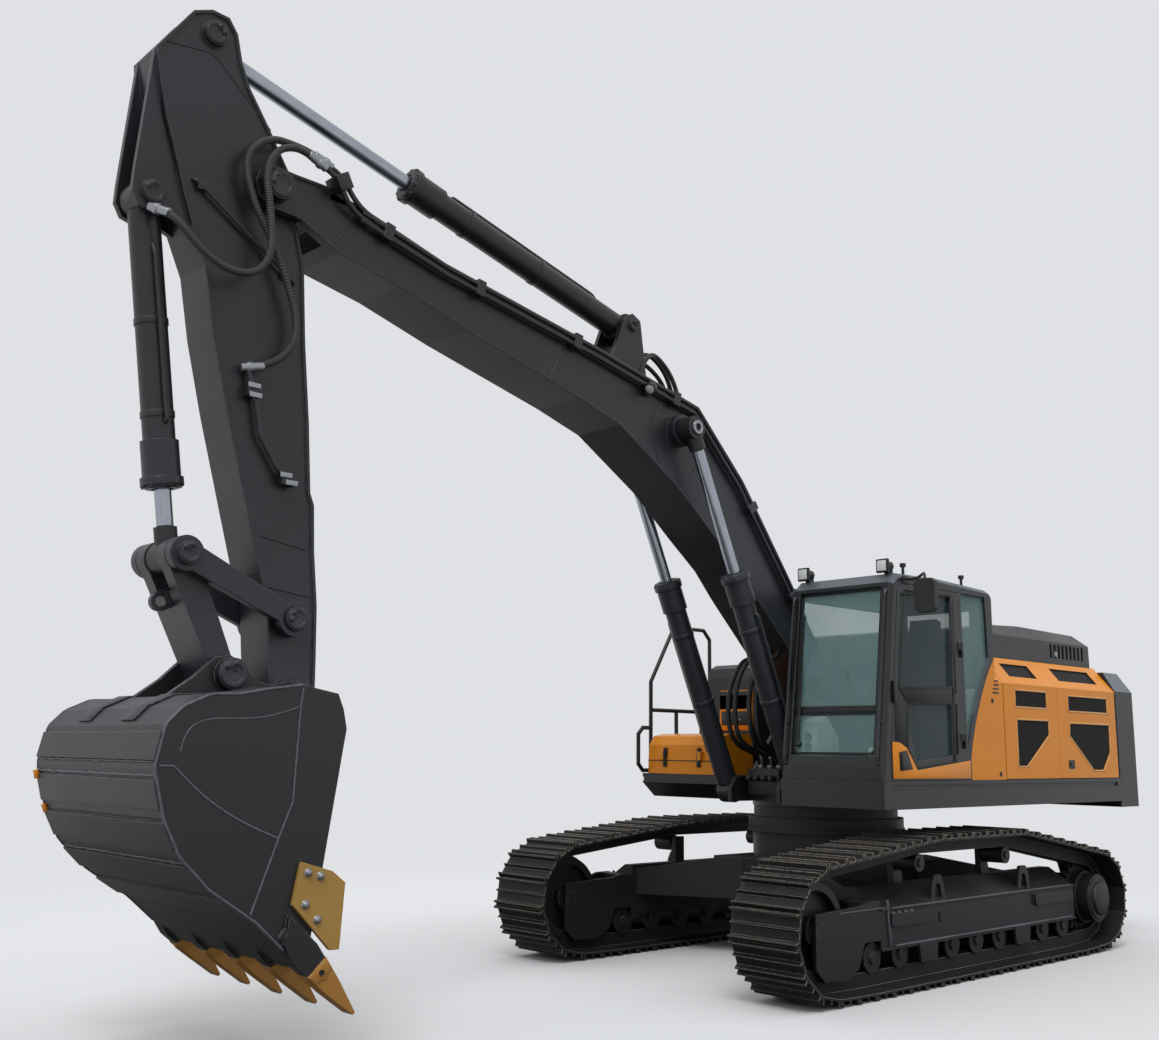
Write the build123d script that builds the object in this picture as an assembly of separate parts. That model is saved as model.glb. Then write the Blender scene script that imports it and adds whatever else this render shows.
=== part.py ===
"""Crawler excavator of the 36 tonne class, one STEP file for each sub-part.

Millimetres. +X points forward to the bucket, +Y to the cab side, +Z up.
The origin is where the slew axis meets the ground.
"""
from build123d import *
from math import acos, atan2, cos, degrees, hypot, pi, sin, tan
import os

os.makedirs("parts", exist_ok=True)

# ---- undercarriage ----
TRACK_GAUGE = 2600
SHOE_WIDTH = 600
SHOE_COUNT = 50
SHOE_PLATE = 16
GROUSER_HEIGHT = 39
LINK_HEIGHT = 105
LINK_THICKNESS = 48
LINK_SPREAD = 72
IDLER_X = 2065
IDLER_Z = 501
IDLER_RADIUS = 330
IDLER_SHAFT = 55
SPROCKET_X = -2065
SPROCKET_Z = 461
SPROCKET_RADIUS = 281
ROLLER_RADIUS = 95
ROLLER_COUNT = 9
ROLLER_FIRST_X = 1400
ROLLER_LAST_X = -1560
CARRIER_RADIUS = 70
CARRIER_Z = 900
CARRIER_STATIONS = (700, -640)
ROLLER_SIDES = 16
SHAFT_SIDES = 12
WHEEL_SIDES = 40
FRAME_FRONT_X = 1330
FRAME_REAR_X = -1720
FRAME_TOP_Z = 600
FRAME_BOTTOM_Z = 375
FRAME_LIP_Z = 300
FRAME_RIDGE_Z = 735
FRAME_HALF_WIDTH = 155
CARBODY_BOTTOM_Z = 480
CARBODY_TOP_Z = 1090
CARBODY_HALF_LENGTH = 800
CARBODY_HALF_WIDTH = 640
BEARING_RADIUS = 690
SEAT_GAP = 0.3
RACE_HEIGHT = 45

# ---- upper structure ----
DECK_BOTTOM_Z = 1319
DECK_TOP_Z = 1534
DECK_HALF_WIDTH = 1500
DECK_REAR_X = -2730
CENTRE_HALF_WIDTH = 520
CAB_FRONT_X = 1297
RIGHT_FRONT_X = 850
TOOL_BOX_OUTER_Y = 80 - DECK_HALF_WIDTH
TOOL_SEAM_Z = 1660
LID_HINGE = (330, 1905)
LID_KNUCKLE = 10
LID_HINGES = (-1060, -740)
TAIL_RADIUS = 3450
COUNTERWEIGHT_TOP_Z = 2560
COUNTERWEIGHT_BOTTOM_Z = 1262
PANEL = 40
SLAT_PITCH = 44
SEAM = 6
HOUSE_FRONT_X = -550
HOUSE_SPLIT_X = -1530
HOUSE_REAR_X = -2725
SHOULDER_Z = 2360
HOUSE_TOP_Z = 2600
SHOULDER_RUN = 200
HOUSE_TOP_HALF_WIDTH = DECK_HALF_WIDTH - SHOULDER_RUN
SKIN = 25
HOOD_HEIGHT = 340
HOOD_FRONT_X = -640
HOOD_REAR_X = -2690
HOOD_RIGHT_Y = 400 - HOUSE_TOP_HALF_WIDTH
HOOD_LEFT_Y = HOUSE_TOP_HALF_WIDTH - 20
KNUCKLE_RADIUS = 16
KNUCKLE_LENGTH = 70
HOOD_HINGES = (-2450, -1700, -950)
HOOD_HINGE_Y = HOOD_RIGHT_Y - KNUCKLE_RADIUS
HOOD_HINGE_Z = HOUSE_TOP_Z + KNUCKLE_RADIUS + SEAT_GAP
HOOD_SLOTS = 9
HOOD_SLOT_X = -2560
HOOD_SLOT_PITCH = 80

# ---- cab ----
CAB_INNER_Y = 522
CAB_OUTER_Y = DECK_HALF_WIDTH
CAB_ROOF_Z = 3173
CAB_REAR_X = -420
CAB_RAKE = 219
CAB_WALL = 50
CAB_POST = 90
CAB_CORNER = 32
GLASS = 8
DOOR_FRONT_X = 1190
DOOR_REAR_X = 120
CONSOLE_WIDTH = 110
CONSOLE_CLEARANCE = 59
LAMP_Z = 3222
LAMP_RADIUS = 44
MIRROR = (1205, 1862, 2930)
RIGHT_WINDOW = [(-250, 2150), (-250, 3000), (1000, 3000), (1120, 2150)]
HINGE_X = DOOR_REAR_X + 3
HINGE_Y = CAB_OUTER_Y + 15
HINGE_HEIGHTS = (1850, 2600)

# ---- working arm, as seen from the side: (x, z) of each pin ----
BOOM_FOOT = (80, 2020)
BOOM_TIP = (5963, 5230)
BOOM_CYLINDER_FOOT = (880, 1410)
BOOM_CYLINDER_EYE = (2210, 4320)
STICK_CYLINDER_FOOT = (2657, 5143)
STICK_CYLINDER_EYE = (6408, 6134)
BUCKET_CYLINDER_HEAD = (6720, 4981)
LINK_PIN = (6404, 2829)
STICK_LINK_PIN = (5680, 2505)
BUCKET_LINK_PIN = (6085, 2153)
BUCKET_PIN = (5620, 2020)
# where the link's lower end lies from fully open to fully curled, as the bucket sees it
LINK_END_PATH = ((6132, 2101), (6110, 2131), (6085, 2153), (6052, 2172), (6024, 2178), (5999, 2165),
                 (6030, 2147))

BOOM_HALF_WIDTH = 240
BOOM_CYLINDER_Y = 380
STICK_HALF_WIDTH = 170
FLANGE = 20
FLANGE_LIP = 14
PIPE_RADIUS = 19
PIPE_PITCH = 56
# corners of the upper edge between which a clamp lies, and its share of that run
PIPE_CLAMPS = ((0, 1, 0.6), (1, 2, 0.75), (3, 4, 0.45), (5, 6, 0.15), (5, 6, 0.8), (6, 7, 0.7))
FORK_GAP = 6
BOOM_PIN = 60
CYLINDER_PIN = 48
BUCKET_PIN_RADIUS = 50
LINK_PIN_RADIUS = 50
STICK_LINK_PIN_RADIUS = 75
BUCKET_HALF_WIDTH = 800
BUCKET_PLATE = 30
STRAP = 16
# corners of the back between which a strap lies, and its start and end along that chord
WEAR_STRAPS = (((6, 7), 40, 190), ((7, 8), 60, 220), ((8, 9), 20, 180), ((9, 10), 60, 215),
               ((10, 11), 90, 260))
TOOTH_COUNT = 5
STICK_SLOT = 96
LINK_SLOT = 86
EYE_RADIUS = 32
EYE_ALONG = 225
EYE_ACROSS = 140
TOOTH_SPREAD = 781
TOOTH_ROOT = (5770, 560)
TOOTH_TIP = (5520, 290)


# ---- shapes ----
def prism_y(outline, y_low, y_high):
    """A solid between two Y values, with its outline given as (x, z)."""
    wire = Polyline(*[(x, y_low, z) for x, z in outline], close=True)
    return extrude(make_face(wire), amount=y_high - y_low, dir=(0, 1, 0))


def prism_z(outline, z_low, z_high):
    """A solid between two heights, with its outline given as (x, y)."""
    wire = Polyline(*[(x, y, z_low) for x, y in outline], close=True)
    return extrude(make_face(wire), amount=z_high - z_low, dir=(0, 0, 1))


def prism_x(outline, x_low, x_high):
    """A solid between two X values, with its outline given as (y, z)."""
    wire = Polyline(*[(x_low, y, z) for y, z in outline], close=True)
    return extrude(make_face(wire), amount=x_high - x_low, dir=(1, 0, 0))


def block(x_low, x_high, y_low, y_high, z_low, z_high):
    """A box between pairs of coordinates."""
    size = Box(x_high - x_low, y_high - y_low, z_high - z_low)
    return Pos((x_low + x_high) / 2, (y_low + y_high) / 2, (z_low + z_high) / 2) * size


def disc_y(centre, radius, y_low, y_high, sides=0):
    """A cylinder along Y round a point given as (x, z), or a prism with so many sides."""
    if sides:
        turns = [2 * pi * i / sides for i in range(sides)]
        outline = [(centre[0] + radius * cos(turn), centre[1] + radius * sin(turn)) for turn in turns]
        return prism_y(outline, y_low, y_high)
    shape = Rot(90, 0, 0) * Cylinder(radius, y_high - y_low)
    return Pos(centre[0], (y_low + y_high) / 2, centre[1]) * shape


def disc_z(x, y, radius, z_low, z_high):
    """An upright cylinder."""
    return Pos(x, y, (z_low + z_high) / 2) * Cylinder(radius, z_high - z_low)


def bar(start, end, radius):
    """An eight-sided bar between two points in space."""
    return tube_path([start, end], radius)


def tube_path(points, radius, bend=0):
    """An eight-sided tube along straight runs; each corner is cut by two mitres when it has a bend."""
    corners = [Vector(*point) for point in points]
    route = [corners[0]]
    for before, corner, after in zip(corners, corners[1:], corners[2:]):
        back, ahead = (before - corner).normalized(), (after - corner).normalized()
        cut = bend / tan(acos(max(-1, min(1, back.dot(ahead)))) / 2)
        cut = min(cut, 0.45 * (before - corner).length, 0.45 * (after - corner).length)
        route += [corner + back * cut, corner + ahead * cut] if cut else [corner]
    route.append(corners[-1])
    section = Plane(origin=route[0], z_dir=route[1] - route[0]) * RegularPolygon(radius, 8)
    return sweep(section, path=Polyline(*route), transition=Transition.RIGHT)


def mirrored(solid):
    """The same solid on the other side of the machine."""
    return mirror(solid, about=Plane.XZ)


def both(solid):
    """A solid with its mirror image."""
    return solid + mirrored(solid)


def both_sides(shape):
    """Solids on the left, with their mirror images apart from them."""
    return apart([shape, mirrored(shape)])


def together(solids):
    """One shape out of a list of solids that touch or overlap."""
    first, *rest = solids
    return first.fuse(*rest) if rest else first


def apart(solids):
    """Several solids of one node, none touching another."""
    return Compound(children=[s for shape in solids for s in shape.solids()])


def save(name, shape):
    """Write one sub-part."""
    export_step(shape, "parts/" + name + ".step")


def toward(start, end, along, across=0):
    """The point a distance along the line from start to end, and across it."""
    length = hypot(end[0] - start[0], end[1] - start[1])
    ux, uz = (end[0] - start[0]) / length, (end[1] - start[1]) / length
    return (start[0] + ux * along - uz * across, start[1] + uz * along + ux * across)


# ---- tracks ----
def belt(circles):
    """Lines and arcs of a belt round circles (x, z, radius), listed clockwise."""
    spans = []
    count = len(circles)
    tangents = []
    for i in range(count):
        x1, z1, r1 = circles[i]
        x2, z2, r2 = circles[(i + 1) % count]
        gap = hypot(x2 - x1, z2 - z1)
        heading = atan2(z2 - z1, x2 - x1)
        tangents.append(heading + acos((r1 - r2) / gap))
    for i in range(count):
        x, z, r = circles[i]
        start = tangents[i - 1]
        end = tangents[i]
        while end > start:
            end -= 2 * pi
        spans.append(("arc", x, z, r, start, end))
        x2, z2, r2 = circles[(i + 1) % count]
        leave = (x + r * cos(end), z + r * sin(end))
        meet = (x2 + r2 * cos(end), z2 + r2 * sin(end))
        spans.append(("line", leave, meet))
    return spans


def belt_points(spans, count):
    """Evenly spaced points along a belt."""
    lengths = []
    for span in spans:
        if span[0] == "arc":
            lengths.append(span[3] * (span[4] - span[5]))
        else:
            lengths.append(hypot(span[2][0] - span[1][0], span[2][1] - span[1][1]))
    total = sum(lengths)
    points = []
    for i in range(count):
        left = total * i / count
        k = 0
        while left > lengths[k]:
            left -= lengths[k]
            k += 1
        span = spans[k]
        share = left / lengths[k]
        if span[0] == "arc":
            angle = span[4] + (span[5] - span[4]) * share
            points.append((span[1] + span[3] * cos(angle), span[2] + span[3] * sin(angle)))
        else:
            (x1, z1), (x2, z2) = span[1], span[2]
            points.append((x1 + (x2 - x1) * share, z1 + (z2 - z1) * share))
    return points


def belt_inside(circles, step=15):
    """Corners of a belt whose flats touch the circles all the way round."""
    points = []
    for kind, *values in belt(circles):
        if kind == "line":
            continue
        x, z, r, start, end = values
        count = max(1, round(degrees(start - end) / step))
        turn = (start - end) / count
        for i in range(count):
            angle = start - turn * (i + 0.5)
            reach = r / cos(turn / 2)
            points.append((x + reach * cos(angle), z + reach * sin(angle)))
    return points


SHOE_BASE = SHOE_PLATE + GROUSER_HEIGHT
ROLLER_Z = SHOE_BASE + LINK_HEIGHT + ROLLER_RADIUS + 0.5


def track_circles(offset):
    """The wheels that the track runs round, from the top rear, clockwise."""
    return [
        (SPROCKET_X, SPROCKET_Z, SPROCKET_RADIUS + offset),
        (CARRIER_STATIONS[1], CARRIER_Z, CARRIER_RADIUS + offset),
        (CARRIER_STATIONS[0], CARRIER_Z, CARRIER_RADIUS + offset),
        (IDLER_X, IDLER_Z, IDLER_RADIUS + offset),
        (ROLLER_FIRST_X + 240, ROLLER_Z, ROLLER_RADIUS + offset),
        (ROLLER_LAST_X - 160, ROLLER_Z, ROLLER_RADIUS + offset),
    ]


# share of the pitch and of the grouser height at each corner of a shoe
SHOE_PROFILE = (
    (0.00, 0.0),
    (0.02, 1.0),
    (0.09, 1.0),
    (0.13, 0.0),
    (0.44, 0.0),
    (0.50, 0.8),
    (0.56, 0.0),
    (0.86, 0.0),
    (0.91, 0.9),
    (0.96, 0.9),
)


def track():
    """One loop of shoes on two rows of links, with its middle at y = 0."""
    base = belt_points(belt(track_circles(LINK_HEIGHT + 0.5)), SHOE_COUNT)
    outline = []
    for i in range(SHOE_COUNT):
        (x1, z1), (x2, z2) = base[i], base[(i + 1) % SHOE_COUNT]
        pitch = hypot(x2 - x1, z2 - z1)
        ux, uz = (x2 - x1) / pitch, (z2 - z1) / pitch
        for share, rise in SHOE_PROFILE:
            lift = SHOE_PLATE + GROUSER_HEIGHT * rise
            outline.append((x1 + ux * pitch * share - uz * lift, z1 + uz * pitch * share + ux * lift))
    half = SHOE_WIDTH / 2
    shoes = prism_y(outline, -half, half) - prism_y(base, -half - 1, half + 1)
    inner = belt_inside(track_circles(0.5))
    spread = LINK_SPREAD
    link = prism_y(base, spread - LINK_THICKNESS / 2, spread + LINK_THICKNESS / 2)
    link -= prism_y(inner, 0, 2 * spread)
    return shoes + link + mirrored(link)


def roller(x, z, radius, half_width, flange, shaft_half):
    """A flanged roller on its shaft, turning about Y."""
    body = disc_y((x, z), radius, -half_width, half_width, ROLLER_SIDES)
    for side in (-1, 1):
        edge = side * (LINK_SPREAD + LINK_THICKNESS / 2 + 4)
        low, high = sorted((edge, edge + side * 18))
        body += disc_y((x, z), radius + flange, low, high, ROLLER_SIDES)
    return body + disc_y((x, z), radius * 0.45, -shaft_half, shaft_half, SHAFT_SIDES)


def lower_rollers():
    """The row of rollers that carries the machine."""
    step = (ROLLER_LAST_X - ROLLER_FIRST_X) / (ROLLER_COUNT - 1)
    row = []
    for i in range(ROLLER_COUNT):
        x = ROLLER_FIRST_X + step * i
        row.append(roller(x, ROLLER_Z, ROLLER_RADIUS, 118, 14, FRAME_HALF_WIDTH - 20.3))
    return row


def carrier_rollers():
    """The two rollers that hold up the returning track."""
    row = []
    for x in CARRIER_STATIONS:
        wheel = disc_y((x, CARRIER_Z), CARRIER_RADIUS, -94, 105, ROLLER_SIDES)
        row.append(wheel + disc_y((x, CARRIER_Z), 32, -150, 120, SHAFT_SIDES))
    return row


def idler():
    """The front wheel, with its raised middle running between the links."""
    rim = disc_y((IDLER_X, IDLER_Z), IDLER_RADIUS, -105, 105, WHEEL_SIDES)
    rim += disc_y((IDLER_X, IDLER_Z), IDLER_RADIUS + 22, -LINK_SPREAD + LINK_THICKNESS / 2 + 6,
                  LINK_SPREAD - LINK_THICKNESS / 2 - 6, WHEEL_SIDES)
    for side in (-1, 1):
        low, high = sorted((side * 40, side * 110))
        hollow = disc_y((IDLER_X, IDLER_Z), IDLER_RADIUS - 55, low, high, WHEEL_SIDES)
        rim -= hollow - disc_y((IDLER_X, IDLER_Z), 110, low, high, SHAFT_SIDES)
    shaft = disc_y((IDLER_X, IDLER_Z), IDLER_SHAFT, -FRAME_HALF_WIDTH, FRAME_HALF_WIDTH, SHAFT_SIDES)
    return rim + shaft


TOOTH_TOTAL = 21


def sprocket():
    """The toothed wheel at the rear with the drive housing and its cover."""
    outline = []
    tip = SPROCKET_RADIUS + 34
    root = SPROCKET_RADIUS - 12
    for i in range(TOOTH_TOTAL):
        for share, radius in ((0.0, root), (0.3, root), (0.45, tip), (0.6, tip), (0.75, root)):
            angle = 2 * pi * (i + share) / TOOTH_TOTAL
            outline.append((SPROCKET_X + radius * cos(angle), SPROCKET_Z + radius * sin(angle)))
    centre = (SPROCKET_X, SPROCKET_Z)
    wheel = prism_y(outline, -34, 34)
    for radius, low, high in ((235, 34, 110), (210, 110, 225), (185, 225, 240), (190, -300, -34)):
        wheel += disc_y(centre, radius, low, high, WHEEL_SIDES)
    return wheel


def track_frame():
    """The left side frame, with y measured from the middle of the track, outward."""
    half = FRAME_HALF_WIDTH
    section = [(half, FRAME_LIP_Z), (half, FRAME_TOP_Z), (half - 30, FRAME_TOP_Z + 12),
               (-half + 90, FRAME_RIDGE_Z), (-half, FRAME_RIDGE_Z), (-half, FRAME_LIP_Z),
               (-half + 20, FRAME_LIP_Z), (-half + 20, FRAME_BOTTOM_Z),
               (half - 20, FRAME_BOTTOM_Z), (half - 20, FRAME_LIP_Z)]
    beam = prism_x(section, FRAME_REAR_X, FRAME_FRONT_X)
    lip = block(FRAME_REAR_X, FRAME_FRONT_X, half, half + 14, FRAME_TOP_Z - 16, FRAME_TOP_Z)
    beam += lip + Pos(0, 0, FRAME_LIP_Z + 16 - FRAME_TOP_Z) * lip
    for start, end in ((685, 1215), (-1665, -985)):
        step = [(start, 478), (start + 40, 462), (end - 40, 462), (end, 478), (end, 560), (start, 560)]
        beam += prism_y(step, half, half + 26)
    beam -= block(510, 545, half - 12, half + 1, 435, 520)
    for side in (-1, 1):
        inner, outer = side * 122, side * half
        low, high = sorted((inner, outer))
        cheek = prism_y([(FRAME_FRONT_X, FRAME_BOTTOM_Z), (FRAME_FRONT_X, 660), (1480, 660),
                         (1560, 640), (IDLER_X + 60, 620), (IDLER_X + 60, 240), (IDLER_X - 40, 150),
                         (1760, 140), (1620, 200), (1540, FRAME_BOTTOM_Z)], low, high)
        beam += cheek - disc_y((IDLER_X, IDLER_Z), IDLER_SHAFT + SEAT_GAP, low - 1, high + 1, SHAFT_SIDES)
    beam += block(FRAME_FRONT_X, 1440, -half, half, FRAME_BOTTOM_Z, 655)
    rear = []
    for side in (-1, 1):
        low, high = sorted((side * 125, side * half))
        if side < 0:
            plate = prism_y([(FRAME_REAR_X, FRAME_LIP_Z), (FRAME_REAR_X, FRAME_RIDGE_Z - 20),
                             (SPROCKET_X - 190, 620), (SPROCKET_X - 190, 300)], low, high)
            plate -= disc_y((SPROCKET_X, SPROCKET_Z), 190.5, low - 5, high + 5, WHEEL_SIDES)
            rear.append(plate)
    beam = together([beam, *rear])
    for x in CARRIER_STATIONS:
        post = prism_x([(-half, FRAME_RIDGE_Z), (-half + 60, FRAME_RIDGE_Z),
                        (-half + 40, CARRIER_Z + 60), (-half, CARRIER_Z + 60)], x - 60, x + 60)
        beam += post - disc_y((x, CARRIER_Z), 32.5, -half - 1, half, SHAFT_SIDES)
    for x in (480, -890):
        arch = prism_y([(x + 110, FRAME_TOP_Z - 10), (x + 80, 740), (x + 45, 800), (x - 45, 800),
                        (x - 80, 740), (x - 110, FRAME_TOP_Z - 10)], half - 60, half - 30)
        arch -= prism_y([(x + 55, FRAME_TOP_Z + 8), (x + 40, 700), (x + 20, 735), (x - 20, 735),
                         (x - 40, 700), (x - 55, FRAME_TOP_Z + 8)], half - 70, half - 20)
        beam += arch
    for x in (719, -742):
        guard = prism_y([(x + 130, FRAME_LIP_Z + 20), (x + 110, 175), (x - 110, 175),
                         (x - 130, FRAME_LIP_Z + 20)], half, half + 22)
        beam += guard
    return beam


def carbody():
    """The centre of the undercarriage with its four legs."""
    top = prism_z([(CARBODY_HALF_LENGTH, -CARBODY_HALF_WIDTH), (CARBODY_HALF_LENGTH, CARBODY_HALF_WIDTH),
                   (-CARBODY_HALF_LENGTH, CARBODY_HALF_WIDTH),
                   (-CARBODY_HALF_LENGTH, -CARBODY_HALF_WIDTH)], CARBODY_BOTTOM_Z, 830)
    drum = disc_z(0, 0, BEARING_RADIUS - 40, 800, CARBODY_TOP_Z)
    drum += disc_z(0, 0, BEARING_RADIUS + 10, CARBODY_TOP_Z - 40, CARBODY_TOP_Z)
    body = top + drum
    reach = TRACK_GAUGE / 2 - FRAME_HALF_WIDTH
    for end in (-1, 1):
        foot = end * 1000
        knee = end * 560
        plan = [(knee - 250, 300), (knee + 250, 300), (foot + 270, reach), (foot - 270, reach)]
        leg = prism_z(plan, CARBODY_BOTTOM_Z, 830)
        slope = prism_x([(420, 840), (reach + 10, 700), (reach + 10, 900), (420, 900)], -1400, 1400)
        body += both(leg - slope)
    return body


def bearing_ring():
    """The fixed race of the slewing bearing."""
    top = DECK_BOTTOM_Z - RACE_HEIGHT - SEAT_GAP
    ring = disc_z(0, 0, BEARING_RADIUS, CARBODY_TOP_Z, CARBODY_TOP_Z + 90)
    ring += disc_z(0, 0, BEARING_RADIUS - 50, CARBODY_TOP_Z + 90, top)
    return ring - disc_z(0, 0, BEARING_RADIUS - 190, CARBODY_TOP_Z - 1, top)


# ---- upper structure ----
def main_frame():
    """The turning deck with the boom brackets and the moving race."""
    outer = DECK_HALF_WIDTH
    left = prism_z([(CAB_FRONT_X, CAB_INNER_Y), (CAB_FRONT_X, outer), (DECK_REAR_X, outer),
                    (DECK_REAR_X, CAB_INNER_Y)], DECK_BOTTOM_Z, DECK_TOP_Z)
    right = prism_y([(RIGHT_FRONT_X - 20, DECK_TOP_Z), (RIGHT_FRONT_X - 20, 1450),
                     (RIGHT_FRONT_X - 180, DECK_BOTTOM_Z), (DECK_REAR_X, DECK_BOTTOM_Z),
                     (DECK_REAR_X, DECK_TOP_Z)], -outer, -CENTRE_HALF_WIDTH)
    centre = block(DECK_REAR_X, BOOM_CYLINDER_FOOT[0] - 140, -CENTRE_HALF_WIDTH, CAB_INNER_Y,
                   DECK_BOTTOM_Z, DECK_BOTTOM_Z + 60)
    rear = block(DECK_REAR_X, -500, -CENTRE_HALF_WIDTH, CAB_INNER_Y, DECK_BOTTOM_Z + 60, DECK_TOP_Z)
    deck = together([left, right, centre, rear])
    foot, cylinder = BOOM_FOOT, BOOM_CYLINDER_FOOT
    cheek = prism_y([(-500, DECK_BOTTOM_Z), (-500, DECK_TOP_Z + 20), (foot[0] - 190, foot[1] - 60),
                     (foot[0] - 150, foot[1] + 110), (foot[0] - 60, foot[1] + 170),
                     (foot[0] + 70, foot[1] + 165), (foot[0] + 165, foot[1] + 80),
                     (cylinder[0] - 150, cylinder[1] + 130), (cylinder[0] + 60, cylinder[1] + 120),
                     (cylinder[0] + 140, cylinder[1] + 20), (1010, DECK_BOTTOM_Z)],
                    BOOM_HALF_WIDTH + FORK_GAP, BOOM_HALF_WIDTH + 46)
    deck = together([deck, cheek, mirrored(cheek)])
    pin = disc_y(foot, BOOM_PIN, -BOOM_HALF_WIDTH - 75, BOOM_HALF_WIDTH + 75)
    ear = disc_y(cylinder, 85, BOOM_HALF_WIDTH + 46, BOOM_CYLINDER_Y - 70)
    ear += disc_y(cylinder, CYLINDER_PIN, BOOM_HALF_WIDTH + 46, BOOM_CYLINDER_Y + 76)
    deck = together([deck, pin, ear, mirrored(ear)])
    race_z = DECK_BOTTOM_Z - RACE_HEIGHT
    race = disc_z(0, 0, BEARING_RADIUS - 40, race_z, DECK_BOTTOM_Z)
    race -= disc_z(0, 0, BEARING_RADIUS - 190, race_z - 1, DECK_BOTTOM_Z)
    groove = block(DECK_REAR_X + 60, CAB_FRONT_X - 120, outer - 14, outer + 1,
                   DECK_TOP_Z - 70, DECK_TOP_Z - 34)
    return deck + race - groove - mirrored(groove)


def tail_x(y, radius=TAIL_RADIUS):
    """The x of the rounded tail at a distance from the middle."""
    return -(radius ** 2 - y ** 2) ** 0.5


def counterweight():
    """The cast mass at the rear, rounded about the slew axis."""
    outer = DECK_HALF_WIDTH
    front = DECK_REAR_X
    corner = tail_x(outer)
    outline = Line((front, -outer), (front, outer))
    outline += Line((front, outer), (corner, outer))
    outline += ThreePointArc((corner, outer), (-TAIL_RADIUS, 0), (corner, -outer))
    outline += Line((corner, -outer), (front, -outer))
    height = COUNTERWEIGHT_TOP_Z - COUNTERWEIGHT_BOTTOM_Z
    body = Pos(0, 0, COUNTERWEIGHT_BOTTOM_Z) * extrude(make_face(outline), amount=height)
    top = body.faces().sort_by(Axis.Z)[-1]
    edges = [e for e in top.edges() if e.center().X < front - 20 or abs(e.center().Y) > outer - 20]
    body = chamfer(edges, 190, 110)
    eye = prism_y([(0, 0), (0, 90), (25, 130), (95, 130), (120, 90), (120, 0)], -20, 20)
    eye -= disc_y((60, 75), 30, -25, 25)
    for y in (-760, 760):
        body += Pos(DECK_REAR_X - 330, y, COUNTERWEIGHT_TOP_Z) * eye
    for y in (-420, 420):
        body -= block(-TAIL_RADIUS - 10, -TAIL_RADIUS + 90, y - 210, y + 210, 1400, 1560)
    return body


def engine_block():
    """The engine as one plain mass on its mounts."""
    body = block(-2500, -1250, -560, 560, 1690, 2350)
    for x in (-2350, -1380):
        for y in (-420, 420):
            body += block(x - 60, x + 60, y - 60, y + 60, DECK_TOP_Z, 1700)
    return body


def side_section(base):
    """Corners (y, z) of a side panel's cross-section standing on a height."""
    return [
        (DECK_HALF_WIDTH, base),
        (DECK_HALF_WIDTH, SHOULDER_Z),
        (HOUSE_TOP_HALF_WIDTH, HOUSE_TOP_Z),
        (HOUSE_TOP_HALF_WIDTH - 8, HOUSE_TOP_Z - PANEL),
        (DECK_HALF_WIDTH - PANEL, SHOULDER_Z - 18),
        (DECK_HALF_WIDTH - PANEL, base),
    ]


def louvred(door, window):
    """A side panel with one window cut through it and filled with level slats."""
    low, high = DECK_HALF_WIDTH - PANEL, DECK_HALF_WIDTH
    door -= prism_y(window, low - 1, high + 1)
    across = [x for x, z in window]
    bottom = min(z for x, z in window)
    top = max(z for x, z in window)
    count = round((top - bottom) / SLAT_PITCH)
    slats = []
    for i in range(count):
        z = bottom + (top - bottom) * (i + 0.5) / count
        slats.append(prism_x([(low + 4, z - 6), (high - 12, z - 16), (high - 12, z - 4), (low + 4, z + 6)],
                             min(across), max(across)))
    return door + (together(slats) & prism_y(window, low, high))


def shoulder_cut(x_low, x_high):
    """A tool that sinks a mesh panel into the sloping face of a side panel."""
    width = HOUSE_TOP_HALF_WIDTH - DECK_HALF_WIDTH
    rise = HOUSE_TOP_Z - SHOULDER_Z
    a, b = 0.28, 0.78
    out = (60, 50)
    sink = (12, 10)
    corners = [(DECK_HALF_WIDTH + width * a, SHOULDER_Z + rise * a),
               (DECK_HALF_WIDTH + width * b, SHOULDER_Z + rise * b)]
    (low_y, low_z), (high_y, high_z) = corners
    outline = [(low_y + out[0], low_z + out[1]), (high_y + out[0], high_z + out[1]),
               (high_y - sink[0], high_z - sink[1]), (low_y - sink[0], low_z - sink[1])]
    return prism_x(outline, x_low, x_high)


def hinge_edge(door, edge_x, inward):
    """A side panel whose hinged edge is rounded about its hinge line."""
    half = PANEL / 2
    top = SHOULDER_Z - 18
    low_x, high_x = sorted((edge_x, edge_x + inward * half))
    door -= block(low_x, high_x, DECK_HALF_WIDTH - PANEL, DECK_HALF_WIDTH, DECK_TOP_Z, top)
    return door + disc_z(edge_x + inward * half, DECK_HALF_WIDTH - half, half, DECK_TOP_Z + SEAM, top)


def front_side_door():
    """The door beside the radiator, hinged at its front edge."""
    door = prism_x(side_section(DECK_TOP_Z + SEAM), HOUSE_SPLIT_X + SEAM / 2, HOUSE_FRONT_X - SEAM)
    door = louvred(door, [(-760, 2165), (-760, 2300), (-1320, 2300), (-1320, 2165)])
    door = louvred(door, [(-770, 2045), (-770, 1650), (-920, 1650), (-1340, 1925), (-1340, 2045)])
    return hinge_edge(door - shoulder_cut(-1290, -780), HOUSE_FRONT_X - SEAM, -1)


def rear_side_door():
    """The door beside the engine, hinged at its rear edge."""
    door = prism_x(side_section(DECK_TOP_Z + SEAM), HOUSE_REAR_X + SEAM, HOUSE_SPLIT_X - SEAM / 2)
    door = louvred(door, [(-1740, 2155), (-1740, 2285), (-2530, 2285), (-2530, 2155)])
    door = louvred(door, [(-1750, 2035), (-1742, 1925), (-2190, 1615), (-2390, 1615), (-2545, 1775),
                          (-2555, 2035)])
    return hinge_edge(door - shoulder_cut(-2480, -1700), HOUSE_REAR_X + SEAM, 1)


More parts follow.
